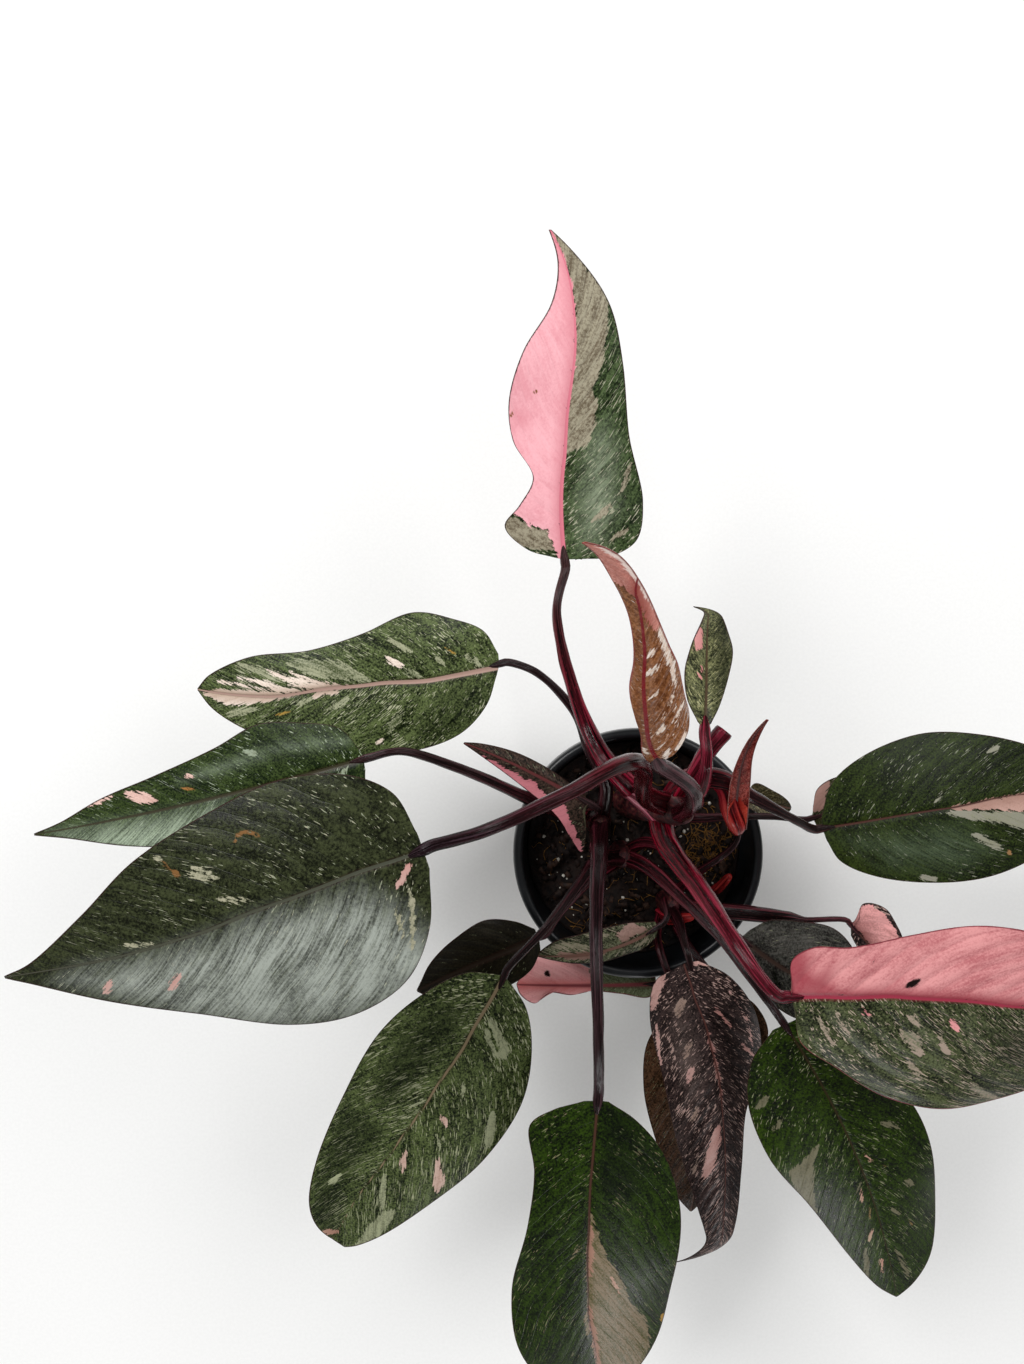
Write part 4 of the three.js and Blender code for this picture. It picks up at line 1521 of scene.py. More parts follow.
SHOOTS = (
    Shoot(
        "main",
        ((-4, 20, 58, 6.2), (-2, 20.5, 84, 6.6), (2, 22, 106, 6.2), (6, 24, 130, 6), (9, 25, 147, 5.2),
         (9.5, 25, 150, 3.4)),
    ),
    Shoot("left", ((-17, 13, 58, 4.8), (-16.5, 13, 82, 5.2), (-17, 13.5, 99, 4.6), (-17, 13.5, 103, 2.8))),
    Shoot("middle", ((-6, -2, 58, 4.6), (-6, -1.5, 80, 4.8), (-7, -1, 95, 4.4), (-7, -1, 98.5, 2.8))),
    Shoot("front", ((14, -22, 58, 4.2), (14, -22.5, 76, 4.6), (14, -23, 87, 4.2), (14, -23, 90, 2.8))),
)

BUDS = (
    Bud(
        "bud_right", RED_BUD,
        ((32, -20, 74, 2.2), (35, -16, 83, 2.4), (38, -10, 90, 1.7), (38.5, -9, 91, 0.8)),
    ),
    Bud(
        "bud_front", RED_BUD,
        ((10, -27, 80, 2.2), (14, -28, 88, 2.8), (22, -26, 93, 1.8), (23, -25.5, 93.4, 0.8)),
    ),
    Bud(
        "bract_foot", RED_BUD,
        ((22, 36, 141, 2.8), (26, 32, 141.5, 3.6), (28, 25, 141, 3.9), (31, 18.5, 137.5, 3.8),
         (32, 15.5, 135, 2.0)),
    ),
    Bud(
        "cut_stalk", RED_STALK,
        ((8, 28, 142, 2.6), (13, 39, 149, 3.0), (18, 48, 152, 3.3), (23, 54, 152.5, 3.5),
         (23.4, 54.5, 152.5, 3.2)),
    ),
    Bud(
        "sheath_wing", PINK_SHEATH,
        ((-8, 27.5, 113, 1.4), (-4, 25.5, 118, 2.4), (2, 20.5, 123, 3.0), (6, 13, 131, 2.8),
         (9, 6, 142, 1.2)),
    ),
)

LEAVES = (
    Leaf(
        "half_pink", Slot.PINK, (-34, 116, 152), (-40, 227, 170), face=(0, -0.1, 1),
        sway=(3, -21), bow=(4, 4), fold=(4, -2), curl=(6, -10), ripple=(1.5, 2, 0),
        left=((0.01, 4), (0.04, 13), (0.12, 21), (0.18, 16), (0.26, 12), (0.38, 21), (0.5, 24), (0.64, 20),
              (0.78, 9), (0.9, 3)),
        right=((0, 5), (0, 16), (0.05, 27), (0.17, 29), (0.39, 20), (0.6, 15), (0.78, 11), (0.93, 4)),
        stalk=((3, 22, 108, 4.2), (-17, 42, 126, 3.8), (-29, 65, 144, 2.9), (-37, 97, 154, 2.1)),
        rib=((0, 0), (0.3, 1.6), (0.47, 2.8), (0.7, 1.6), (1, 0)),
        finish=replace(
            GREEN, dark="0c1804", light="556740", fleck="aaac92", flecks=0.45, pink="fcbac2",
            deep_pink="e28c98", pale="a8a08a", deep_pale="665a48", scar="8a5a38", rib="dc7c8c",
            rib_width=0.9, shade=0.0, painted_sheen="99a48a", veins=0.15,
        ),
        stalk_finish=StalkFinish(
            foot="4a0814", head="33201f", blush="a82440", stripe="6e4648", red_until=0.75,
        ),
        pink=(
            Sector((-0.05, 0), (0.03, 3.2), (0.1, 5.5), (0.115, 12), (0.14, 15), (0.16, 18), (0.2, 34),
                   (0.8, 42), (1.05, 10), (1.05, -0.5), (0.9, 0.3), (0.7, 1.6), (0.45, 2.8), (0.3, 1.8)),
        ),
        pale=(
            Sector((0.33, 2), (0.355, -5.5), (0.42, -7.5), (0.47, -7.5), (0.52, -5), (0.57, -7),
                   (0.7, -9.5), (0.79, -10.5), (0.93, -4), (1.02, -0.5), (0.7, 1.4), (0.45, 2.6)),
            Sector((0.03, 3), (0.09, 4), (0.115, 12), (0.14, 16), (0.15, 21), (0.09, 22), (0.05, 15)),
            Streak(1, (0.05, -17), (0.09, -24)), Streak(0.8, (0.11, -11), (0.17, -18)),
            Streak(0.7, (0.19, -20), (0.29, -23)), Streak(0.7, (0.38, -3), (0.42, -5)),
        ),
        scar=(Streak(0.8, (0.515, 15), (0.525, 15)), Streak(0.5, (0.45, 22.5), (0.46, 22.5))),
        sheen=(
            Sector((0.02, -4), (0.2, -3), (0.4, -5), (0.44, -12), (0.36, -18), (0.15, -22), (0.03, -16)),
        ),
        painted_shade=(Sector((0.45, 14), (0.48, 23), (0.4, 22), (0.42, 17)),),
        quilt=0.2,
    ),
    Leaf(
        "upper_left", Slot.GREEN, (-58, 79, 122), (-181, 69, 104),
        sway=(5, 11), bow=(5, 4), fold=(2, 6), curl=(-14, -18), ripple=(1.5, 2, 1),
        left=((0.01, 4), (0.05, 15), (0.14, 24), (0.32, 27.5), (0.56, 24), (0.8, 16), (0.95, 7)),
        right=((0, 4), (0.04, 14), (0.13, 21), (0.26, 27), (0.42, 22), (0.6, 18), (0.8, 16), (0.95, 7)),
        stalk=((-16.5, 13.5, 95, 3.2), (-15, 30, 106, 2.8), (-22, 45, 116, 2.5), (-29, 61, 123, 2.2),
               (-44, 76, 126, 1.9)),
        rib=((0, 1.2), (0.2, 1), (0.4, -1.5), (0.55, -2), (0.75, 0), (1, 0)),
        finish=replace(
            GREEN, dark="060e02", light="687648", fleck="b0b294", flecks=0.6, pink="f6e6d8",
            deep_pink="a88c78", pale="a4a688", deep_pale="465030", painted_shade=0.35, veins=0.15, rib="a88a7e",
            rib_width=1.1, scar="a5843f",
        ),
        stalk_finish=BROWN_STALK,
        pink=(
            Streak(0.8, (0.38, 20), (0.41, 22)), Streak(1.1, (0.3, -6), (0.355, -11)),
            Streak(0.9, (0.52, 0), (0.56, -1), (0.6, 1)),
            Streak(1.0, (0.48, -2), (0.58, -3), (0.68, -4.4)),
            Streak(0.9, (0.54, -3.4), (0.61, -6), (0.67, -9.5)),
            Streak(0.9, (0.62, -4.4), (0.69, -7.4), (0.75, -11)),
            Streak(0.8, (0.58, -1.8), (0.68, -2.4), (0.78, -3.2)),
            Sector((0.64, -1), (0.72, 1), (0.8, 2.4), (0.9, 4.6), (0.98, 1), (0.93, -1.2), (0.84, -2.2),
                   (0.74, -2)),
            Streak(0.8, (0.7, -3), (0.77, -5.4), (0.85, -7.6)),
            Streak(0.6, (0.78, -3), (0.86, -4.6), (0.92, -5)),
        ),
        pale=(
            Sector((0.41, -3), (0.5, -5), (0.6, -8), (0.68, -13), (0.64, -14.5), (0.56, -14), (0.5, -12),
                   (0.45, -7)),
            Streak(1.6, (0.31, 11), (0.34, 14), (0.37, 19)), Streak(1.2, (0.25, -1), (0.3, -5)),
            Streak(0.8, (0.06, -1), (0.1, -6)), Streak(0.9, (0.27, -11), (0.34, -18)),
            Streak(0.6, (0.17, -4), (0.2, -8)), Streak(1.2, (0.66, -6), (0.74, -9), (0.82, -12.5)),
            Streak(0.8, (0.76, -10), (0.85, -12.5)), Streak(0.6, (0.6, 1), (0.66, 3.5)),
            Streak(1, (0.8, 5), (0.9, 8.5)), Streak(0.7, (0.49, 3), (0.56, 6.5)),
        ),
        scar=(Streak(0.4, (0.68, 6), (0.74, 7.5)), Streak(0.3, (0.13, -7), (0.17, -11))),
        painted_shade=(Sector((0, 2), (0.2, 5), (0.3, 16), (0.28, 27), (0.12, 24), (0, 12)),),
    ),
    Leaf(
        "middle_left", Slot.GREEN, (-107, 44, 150), (-241, 12, 118),
        sway=(2, 2), bow=(8, 6), fold=(4, 2), curl=(-16, -12), ripple=(1.2, 2, 2),
        left=((0, 4), (0.02, 12), (0.12, 18), (0.3, 19), (0.5, 16), (0.7, 11), (0.88, 4)),
        right=((0, 3), (0.04, 13), (0.14, 19), (0.25, 22.5), (0.38, 18), (0.58, 13), (0.75, 9), (0.9, 3)),
        stalk=((-16.5, 13, 83, 3), (-30, 17, 93, 2.8), (-46, 25, 107, 2.6), (-76, 41, 138, 2.2),
               (-94, 47, 150, 1.9)),
        finish=replace(
            GREEN, dark="0a1606", light="44542a", fleck="a0aa90", flecks=0.22, veins=0.15, pink="e8c4b8",
            deep_pink="b98a80", pale="9aa690", painted_sheen="c4d4bb", rib="3e3a2c", rib_width=0.7,
        ),
        pink=(
            Streak(1.7, (0.58, -3.5), (0.63, -6.5), (0.67, -9)), Streak(0.9, (0.46, -9), (0.485, -10.5)),
            Streak(0.6, (0.71, -9), (0.82, -7)),
        ),
        pale=(Streak(0.9, (0.27, -12), (0.3, -14)), Streak(0.8, (0.04, 1), (0.08, 4))),
        scar=(Streak(0.3, (0.46, -5), (0.5, -6.4)),),
        sheen=(
            Streak(1.6, (0.02, -8), (0.2, -12), (0.5, -9)),
            Sector((0.38, 1), (0.95, -1), (0.86, 12), (0.55, 24), (0.42, 22)),
        ),
        painted_shade=(
            Sector((0.0, 1), (0.3, 1), (0.4, 12), (0.3, 20), (0.05, 18)),
            Streak(1.5, (0.02, -13), (0.12, -20), (0.25, -24), (0.4, -19)),
        ),
    ),
    Leaf(
        "large_left", Slot.DEEP, (-79, 23, 222), (-218, -24, 188),
        sway=(6, 4), bow=(12, 8), fold=(-6, 2), curl=(-20, -14), ripple=(2, 1.5, 0),
        left=((0, 6), (0.04, 23), (0.12, 36), (0.25, 41), (0.4, 38), (0.58, 25), (0.78, 13), (0.93, 4)),
        right=((0, 5), (0.02, 19), (0.1, 30), (0.24, 36), (0.4, 34), (0.58, 27), (0.74, 15), (0.92, 3)),
        stalk=((8, 25, 134, 4.2), (-6, 32, 160, 3.8), (-11, 45, 192, 3.4), (-21, 47, 214, 3),
               (-37, 40, 226, 2.7), (-60, 30, 230, 2.4)),
        rib=((0, 0), (0.15, -1.8), (0.35, -1.8), (0.5, -0.3), (0.7, 0.5), (1, 0)),
        finish=replace(
            DEEP, dark="0c0f05", light="3e442a", fleck="868c76", flecks=0.08, pink="c4a096", pale="a8a48c",
            scar="7c5832", painted_sheen="acb2a9", rib="484a3e", rib_width=0.6, veins=0.15,
        ),
        stalk_finish=StalkFinish(
            foot="300609", head="1a0e12", blush="6c1824", stripe="54404a", red_until=0.8,
        ),
        pink=(
            Streak(0.8, (0.03, 2), (0.07, 7)), Streak(1, (0.57, 11), (0.605, 14.5)),
            Streak(0.6, (0.73, 8), (0.76, 11)),
        ),
        pale=(
            Streak(0.6, (0.05, 8), (0.06, 17), (0.085, 26)), Streak(0.6, (0.085, 12), (0.095, 22)),
            Streak(0.6, (0.4, -13.6), (0.44, -16), (0.475, -19)), Streak(0.5, (0.42, -17), (0.46, -19.5)),
            Streak(0.5, (0.52, -25), (0.53, -27)), Streak(0.5, (0.35, -5), (0.42, -8.5)),
            Streak(0.4, (0.6, -1), (0.66, -2.5)),
        ),
        scar=(
            Streak(0.8, (0.49, -18.6), (0.5, -21)), Streak(0.4, (0.505, -21.5), (0.52, -24.5)),
            Streak(0.35, (0.3, -22), (0.32, -24.6), (0.345, -25), (0.355, -23)),
        ),
        sheen=(
            Sector((0.12, 1), (0.35, -2), (0.55, 0), (0.8, -0.5), (0.9, 4), (0.76, 14), (0.6, 30),
                   (0.4, 44), (0.2, 46), (0.02, 38), (0.05, 16)),
        ),
        painted_shade=(Streak(0.5, (0.37, -13), (0.43, -18), (0.485, -22)),),
        quilt=0.15,
    ),
    Leaf(
        "tucked", Slot.DEEP, (-23, 24, 112), (-72, 48, 118),
        sway=(-1, -2), bow=(3, 2), fold=(-8, -10), curl=(-10, -20),
        left=((0, 4), (-0.12, 12), (-0.18, 20), (-0.05, 17), (0.15, 11), (0.5, 6.5), (0.8, 3)),
        right=((0.03, 2), (0.18, 3.5), (0.4, 5), (0.6, 5), (0.88, 2.5)),
        stalk=((-17.5, 13.5, 92, 2.6), (-20.5, 17.5, 101.5, 2.3), (-18.3, 21, 108.5, 1.9)),
        finish=replace(DEEP, light="4e3c34", pink="c87c84", deep_pink="a25a62", rib="5a2c2c"),
        pink=(
            Streak(1.9, (-0.2, 21), (-0.02, 14), (0.15, 9), (0.45, 5.4), (0.85, 2.6)),
            Streak(1, (0.08, 9.5), (0.2, 5)), Streak(1.1, (0.35, 6), (0.46, 3)),
        ),
        quilt=0.25,
    ),
    Leaf(
        "small_dark", Slot.DEEP, (-42, -32, 104), (-93, -58, 90),
        sway=(-1, -2), bow=(4, 3), fold=(0, 4), curl=(-14, -16),
        left=((0.03, 5), (0.15, 11), (0.4, 14.5), (0.7, 11), (0.92, 5)),
        right=((0, 4), (0.1, 10), (0.3, 15), (0.55, 13), (0.8, 8), (0.93, 3)),
        stalk=((-6, -2, 86, 2.8), (-20, -9, 98, 2.3), (-33, -21, 106, 1.9)),
        finish=replace(DEEP, dark="0c0a07", light="221e14", fleck="2a281e", flecks=0.0, rib="241c16"),
        quilt=0.3,
    ),
    Leaf(
        "lower_left", Slot.GREEN, (-56, -41, 128), (-122, -160, 100),
        sway=(6, 4), bow=(10, 6), fold=(-4, 2), curl=(-16, -10), ripple=(1.6, 2, 1),
        left=((0.01, 4), (0.05, 13), (0.15, 22), (0.32, 29), (0.5, 27), (0.7, 20), (0.9, 10), (0.98, 3.5)),
        right=((0.01, 5), (0.04, 14), (0.14, 25), (0.32, 35), (0.55, 35), (0.78, 30), (0.93, 21.5),
               (0.985, 13)),
        stalk=((-7, -1, 94, 3.4), (-19, 0, 110, 2.8), (-28, -8, 122, 2.2), (-40, -21, 132, 1.9)),
        rib=((0, -0.5), (0.2, -3), (0.4, -5.5), (0.6, -7), (0.8, -8), (1, -6)),
        finish=replace(
            GREEN, dark="060e02", light="5f6c40", fleck="a2a484", flecks=0.6, veins=0.15, pink="cdb0a2",
            deep_pink="96705f", pale="9a9e7e", rib="7c6c54", rib_width=0.7,
        ),
        stalk_finish=BROWN_STALK,
        pink=(
            Streak(1.1, (0.44, 2), (0.46, 6)), Streak(1.7, (0.57, 10), (0.63, 15), (0.68, 18)),
            Streak(1.1, (0.59, -3), (0.66, 1)), Streak(1.2, (0.96, -6), (0.99, -11)),
        ),
        pale=(
            Streak(1.5, (0.115, 1), (0.14, 5), (0.185, 13)), Streak(0.9, (0.15, 2), (0.18, 5), (0.205, 9)),
            Streak(0.8, (0.2, 10), (0.2, 13.5)), Streak(1.8, (0.37, 20), (0.42, 22), (0.475, 25)),
            Streak(1.5, (0.7, -4), (0.76, -1), (0.81, 3)),
            Sector((0.79, 8), (0.82, 4), (0.9, 3), (0.97, 4), (0.96, 7), (0.88, 9.5), (0.82, 9)),
            Streak(0.6, (0.42, -7), (0.46, -10)), Streak(0.6, (0.78, -19), (0.82, -20)),
            Streak(0.5, (0.32, 3), (0.37, 6)), Streak(0.6, (0.5, 4), (0.54, 9)),
        ),
        painted_shade=(
            Sector((0.1, -6), (0.4, -11), (0.5, -15), (0.52, -28), (0.3, -29), (0.15, -20)),
            Sector((0.55, -12), (0.8, -14), (0.99, -2), (1.02, -12), (0.93, -22), (0.75, -31), (0.55, -35)),
        ),
    ),
    Leaf(
        "front", Slot.GREEN, (-22, -80, 150), (-24, -218, 110),
        sway=(-3, -6), bow=(12, 8), fold=(0, -2), curl=(-18, -16), ripple=(1.6, 2, 2),
        left=((0, 4), (0.05, 15), (0.15, 27), (0.33, 36), (0.55, 35), (0.75, 31), (0.88, 20), (0.96, 8)),
        right=((0, 5), (0.03, 16), (0.08, 24), (0.2, 21), (0.35, 22), (0.6, 27), (0.78, 25), (0.9, 17),
               (0.965, 8)),
        stalk=((-17, 13.5, 100, 3.8), (-20, 4, 130, 3.2), (-23, -17, 154, 2.7), (-23, -46, 163, 2.4)),
        rib=((0, 0), (0.2, 0), (0.4, 1), (0.6, 2.5), (0.8, 6), (1, 7)),
        finish=replace(
            GREEN, dark="030802", light="2c400a", fleck="66724a", flecks=0.12, pink="b08a78",
            deep_pink="8f6a5a", pale="80705a", deep_pale="4c4a26", scar="a8823c", rib="442c22",
            rib_width=0.5, veins=0.15,
        ),
        stalk_finish=StalkFinish(foot="180709", head="241416", blush="441a22", stripe="4e363c"),
        pink=(
            Streak(0.7, (0.33, 1.6), (0.5, 2.6)), Streak(1, (0.6, 3), (0.75, 6), (0.92, 8.5)),
            Streak(0.6, (0.5, 11), (0.56, 14)),
        ),
        pale=(
            Sector((0.3, 1), (0.4, 6.5), (0.45, 9), (0.5, 14), (0.6, 19), (0.66, 24), (0.74, 27),
                   (0.79, 27), (0.9, 24), (1, 15), (1.02, 7), (0.8, 5.6), (0.6, 2.3), (0.45, 1)),
            Streak(0.5, (0.63, 2), (0.72, 3)), Streak(0.3, (0.4, -2), (0.44, -5)),
        ),
        scar=(Streak(0.9, (0.67, 32.8), (0.7, 32.4)),),
        painted_shade=(
            Streak(0.3, (0.17, -5), (0.24, -9)), Sector((0, 1), (0.25, 1), (0.3, 16), (0.15, 27), (0, 15)),
        ),
    ),
    Leaf(
        "bronze", Slot.PURPLE, (18, -40, 112), (34, -181, 84),
        sway=(6, 8), bow=(10, 8), fold=(-10, -10), curl=(-34, -26), ripple=(1.6, 2.5, 0), hook=(-17, 3, -4),
        left=((0, 4), (0.06, 16), (0.18, 26), (0.3, 27), (0.39, 20), (0.46, 13), (0.64, 9), (0.8, 7),
              (0.9, 4.5), (0.96, 3)),
        right=((0.01, 5), (0.05, 16), (0.17, 22), (0.35, 21), (0.55, 18), (0.74, 11), (0.86, 6),
               (0.94, 3.6)),
        stalk=((14, -23, 87, 2.6), (16, -28, 100, 2.2), (16.5, -34, 110, 1.9)),
        rib=((0, -2.5), (0.08, -1.5), (0.2, 1.2), (0.35, 2.6), (0.5, 2), (0.8, 1), (1, 0)),
        finish=PURPLE,
        stalk_finish=BROWN_STALK,
        pink=(
            Streak(1.6, (-0.005, 0), (0, 4), (0.02, 6)),
            Streak(1.8, (0.03, -11), (0.08, -17), (0.15, -20.5)), Streak(0.9, (0.3, -7), (0.35, -11)),
            Streak(0.5, (0.1, 14), (0.18, 20), (0.3, 21.5)), Streak(0.5, (0.2, 1), (0.3, 2.4), (0.4, 2.6)),
            Streak(2.3, (0.48, 0), (0.55, -3), (0.6, -4.5), (0.655, -7.5)),
            Streak(0.6, (0.26, 15), (0.31, 21)), Streak(0.6, (0.14, 6), (0.2, 12)),
            Streak(0.5, (0.18, -19.5), (0.3, -21)),
        ),
        pale=(
            Streak(1.1, (0.1, -6), (0.15, -9.5)), Streak(0.5, (0.42, -8), (0.47, -11)),
            Streak(0.5, (0.58, -9), (0.64, -12)), Streak(0.6, (0.22, -6), (0.27, -10)),
        ),
        sheen=(Sector((0.1, -4), (0.4, -4), (0.42, -12), (0.28, -16), (0.12, -12)),),
        painted_shade=(
            Streak(1.2, (0.02, -3), (0.2, -3), (0.45, -1.5)),
            Sector((0.05, 1), (0.2, 3), (0.45, 4), (0.44, 13), (0.3, 18), (0.12, 15)),
            Sector((0.45, 0.5), (0.85, 1), (0.8, 8), (0.6, 10), (0.44, 14)),
        ),
        quilt=0.6,
    ),
    Leaf(
        "under_bronze", Slot.OLIVE, (35, -57, 92), (25, -159, 74),
        bow=(6, 4), curl=(-16, -16),
        left=((0, 5), (0.05, 15), (0.16, 22), (0.32, 18), (0.6, 13), (0.88, 8)),
        right=((0, 5), (0.08, 17), (0.25, 28), (0.45, 28), (0.7, 19), (0.92, 8)),
        stalk=((14, -22.5, 78, 2.4), (18, -34, 89, 2), (27, -46, 97, 1.8)),
        finish=replace(
            GREEN, dark="1c1004", light="5e4230", fleck="6a5440", flecks=0.2, rib="5a3c30", vein="1c120a",
        ),
    ),
    Leaf(
        "rim_striped", Slot.PALE, (7, -29, 99), (-43, -41, 98),
        sway=(6, 5), bow=(3, 2), fold=(-20, 8), curl=(-10, -14), ripple=(0.8, 3, 0),
        left=((0.02, 4), (0.17, 6), (0.35, 5), (0.56, 5), (0.8, 3)),
        right=((0.01, 3), (0.13, 6), (0.3, 9), (0.6, 9), (0.78, 7.5), (0.9, 4.5)),
        stalk=((14, -22.5, 78, 2.2), (11, -21, 90, 1.9), (11, -25, 98, 1.6)),
        finish=replace(
            STRIPED, dark="080a03", light="72765a", pink="a98a80", deep_pink="705448", pale="8c8270",
        ),
        pink=(
            Sector((0.1, -2), (0.3, -1.5), (0.34, -6), (0.2, -7.5)),
            Sector((0.45, 1), (0.6, 2.4), (0.78, 1), (0.82, -1.5), (0.6, -1)),
        ),
        pale=(
            Streak(1, (0.55, -3), (0.7, -5), (0.85, -4)), Streak(0.7, (0.4, -6), (0.56, -8)),
            Streak(0.6, (0.12, 2.5), (0.24, 3)),
        ),
        painted_shade=(
            Streak(0.8, (0.06, 3), (0.3, 4.6), (0.5, 4.4)),
            Streak(1.0, (0.35, -3), (0.5, -4.5), (0.66, -7.6), (0.85, -6.6)),
        ),
        quilt=0.3,
    ),
    Leaf(
        "rim_pink", Slot.PINK, (9, -58, 80), (-51, -63, 64),
        bow=(3, 2), fold=(-6, 0), curl=(-14, -10), ripple=(1.2, 3, 0),
        left=((0, 4), (0.07, 6), (0.25, 4), (0.46, 2.5), (0.6, 4.5), (0.76, 3.5), (0.9, 9.5), (0.98, 5)),
        right=((0, 3), (0.2, 4), (0.4, 7), (0.6, 12), (0.75, 14), (0.9, 10)),
        stalk=((14, -22.5, 74, 2.2), (8, -35, 90, 1.9), (12, -50, 97, 1.7), (14, -57, 90, 1.6)),
        finish=replace(
            GREEN, dark="4a5038", light="7c8464", pink="ffbabb", deep_pink="d86c6c", scar="1a0d0c",
            rib="8a4448", margin="6a3034",
        ),
        pink=(Sector((0.42, 8), (0.46, -9), (0.6, -18), (1.1, -18), (1.1, 18), (0.5, 18)),),
        scar=(Streak(1.2, (0.75, -4.5), (0.775, -6)),),
        quilt=0.3,
    ),
    Leaf(
        "right_pink", Slot.PINK, (38, -31, 186), (156, -42, 168),
        sway=(2, -4), bow=(8, 6), fold=(14, -14), curl=(-6, -14), ripple=(2, 2, 0),
        left=((0, 4), (-0.01, 13), (0.04, 18), (0.13, 19), (0.3, 25), (0.52, 31), (0.7, 28), (0.9, 12)),
        right=((0.02, 5), (0.05, 17), (0.16, 26), (0.35, 38), (0.62, 39), (0.8, 31), (0.93, 15)),
        stalk=((5, 23, 118, 4.6), (5, 12, 134, 4.2), (13, -1, 160, 3.8), (22, -16, 183, 3.2),
               (30, -27, 189, 2.6)),
        rib=((0, 0), (0.12, 1), (0.3, 3.2), (0.5, 4), (0.66, 3.2), (1, 1)),
        finish=replace(
            STRIPED, dark="070b03", light="5a6240", fleck="b4a692", flecks=0.7, pink="e09a9a",
            deep_pink="902a3a", pale="a49284", painted_sheen="848874", rib="983446", rib_width=0.9, scar="160a08",
            margin="7a2c36", veins=0.12, vein_step=9.0,
        ),
        stalk_finish=RED_STALK,
        pink=(
            Sector((-0.1, 0), (-0.1, 20), (0.1, 60), (1.1, 60), (1.1, 2), (0.66, 3.4), (0.5, 4.2),
                   (0.3, 3.4), (0.12, 1.2)),
            Streak(0.9, (0.19, -1.5), (0.225, -4.5)), Streak(0.8, (0.455, -3), (0.485, -6.5)),
        ),
        pale=(
            Streak(2.1, (0.32, -9), (0.36, -11.5), (0.395, -17)), Streak(0.9, (0.33, -3), (0.37, -6)),
            Streak(1.5, (0.58, -28), (0.65, -33), (0.73, -37)), Streak(0.8, (0.36, -20), (0.42, -27)),
            Streak(0.35, (0.06, -4), (0.1, -10), (0.14, -17)), Streak(0.3, (0.13, -5), (0.18, -13)),
            Streak(0.35, (0.24, -13), (0.28, -20)), Streak(0.3, (0.43, -8), (0.48, -18)),
        ),
        scar=(Streak(1.2, (0.3, 7), (0.32, 8.5), (0.34, 10.2)), Streak(0.3, (0.2, 14), (0.205, 16))),
        sheen=(
            Streak(1.5, (0.12, -4), (0.2, -14), (0.27, -22)),
            Streak(1.5, (0.34, -3), (0.42, -14), (0.48, -24)), Streak(1.0, (0.5, -3), (0.58, -16)),
        ),
        painted_shade=(
            Sector((0.55, -4), (0.9, -4), (0.85, -22), (0.66, -20)),
            Sector((-0.1, -1), (0.14, 1), (0.11, 8), (0.1, 16), (0.06, 11), (0.03, 22), (-0.08, 20)),
            Streak(1.4, (0.0, 1.5), (0.3, 3.5), (0.6, 5), (0.9, 3)),
            Streak(0.8, (0.14, 2), (0.18, 9), (0.24, 16)), Streak(0.5, (0.24, 3), (0.3, 12)),
            Streak(0.5, (0.4, 5), (0.48, 15), (0.52, 24)), Streak(0.4, (0.58, 6), (0.66, 18)),
        ),
        quilt=0.5,
    ),
    Leaf(
        "lower_right", Slot.GREEN, (48, -55, 142), (103, -177, 106),
        sway=(8, 6), bow=(12, 6), fold=(-4, -4), curl=(-16, -16), ripple=(1.6, 2, 1),
        left=((0, 6), (0.1, 17), (0.3, 26), (0.45, 30), (0.68, 27.5), (0.85, 22.5), (0.93, 17),
              (0.98, 8.5)),
        right=((0, 5), (0.06, 18), (0.18, 28), (0.35, 31), (0.55, 24), (0.78, 15), (0.93, 7)),
        stalk=((-7, -1, 91, 3.2), (2, -3, 106, 2.8), (13, -12, 123, 2.4), (25, -24, 137, 2.1),
               (37, -40, 147, 1.9)),
        finish=replace(
            GREEN, dark="030802", light="2e4206", fleck="868c6a", flecks=0.28, veins=0.15, pale="6e6a54",
            pink="a8907a", deep_pale="524f3a", scar="7a6440", rib="2e2614", rib_width=0.4,
        ),
        stalk_finish=replace(BROWN_STALK, foot="32090f", blush="6c2a34"),
        pink=(
            Streak(0.4, (0.55, -3), (0.59, -4.4)), Streak(0.4, (0.7, -4), (0.74, -6)),
            Streak(0.3, (0.44, 3), (0.48, 5)), Streak(0.3, (0.83, -3), (0.88, -4)),
        ),
        pale=(
            Sector((0.36, -12), (0.42, -17), (0.5, -20.5), (0.6, -21.5), (0.58, -24), (0.48, -26),
                   (0.42, -26), (0.4, -20)),
            Streak(1.2, (0.6, 15), (0.63, 17.5)), Streak(0.9, (0.82, 3), (0.88, 5), (0.95, 6.5)),
            Streak(1, (0.77, -8.5), (0.88, -10)), Streak(1.1, (0.17, -20), (0.2, -26)),
            Streak(1, (0.24, -18), (0.275, -24)), Streak(0.6, (0.52, -2), (0.56, -5)),
            Streak(0.6, (0.38, 14), (0.43, 20)), Streak(0.6, (0.66, 6), (0.7, 9)),
            Streak(0.6, (0.12, 12), (0.16, 17)),
        ),
        scar=(
            Streak(0.3, (0.62, -2), (0.66, -3.4)), Streak(0.3, (0.5, 8), (0.52, 9.4)),
            Streak(0.3, (0.74, 12), (0.77, 13)),
        ),
    ),
    Leaf(
        "right", Slot.GREEN, (68, 15, 122), (190, 24, 104),
        sway=(3, 6), bow=(8, 6), curl=(-12, -12), ripple=(1.4, 2, 0),
        left=((0, 5), (0.04, 17), (0.15, 26), (0.35, 31), (0.55, 28), (0.8, 18), (0.95, 6)),
        right=((0.01, 5), (0.05, 14), (0.2, 24), (0.42, 29), (0.65, 26), (0.88, 12)),
        stalk=((6, 24, 124, 4.2), (13, 35, 137, 4.2), (24, 36, 143, 3.8), (37, 29, 141, 2.8),
               (52, 21, 133, 2.1)),
        rib=((0, 0), (0.4, 0.8), (0.65, 3), (1, 4)),
        finish=replace(
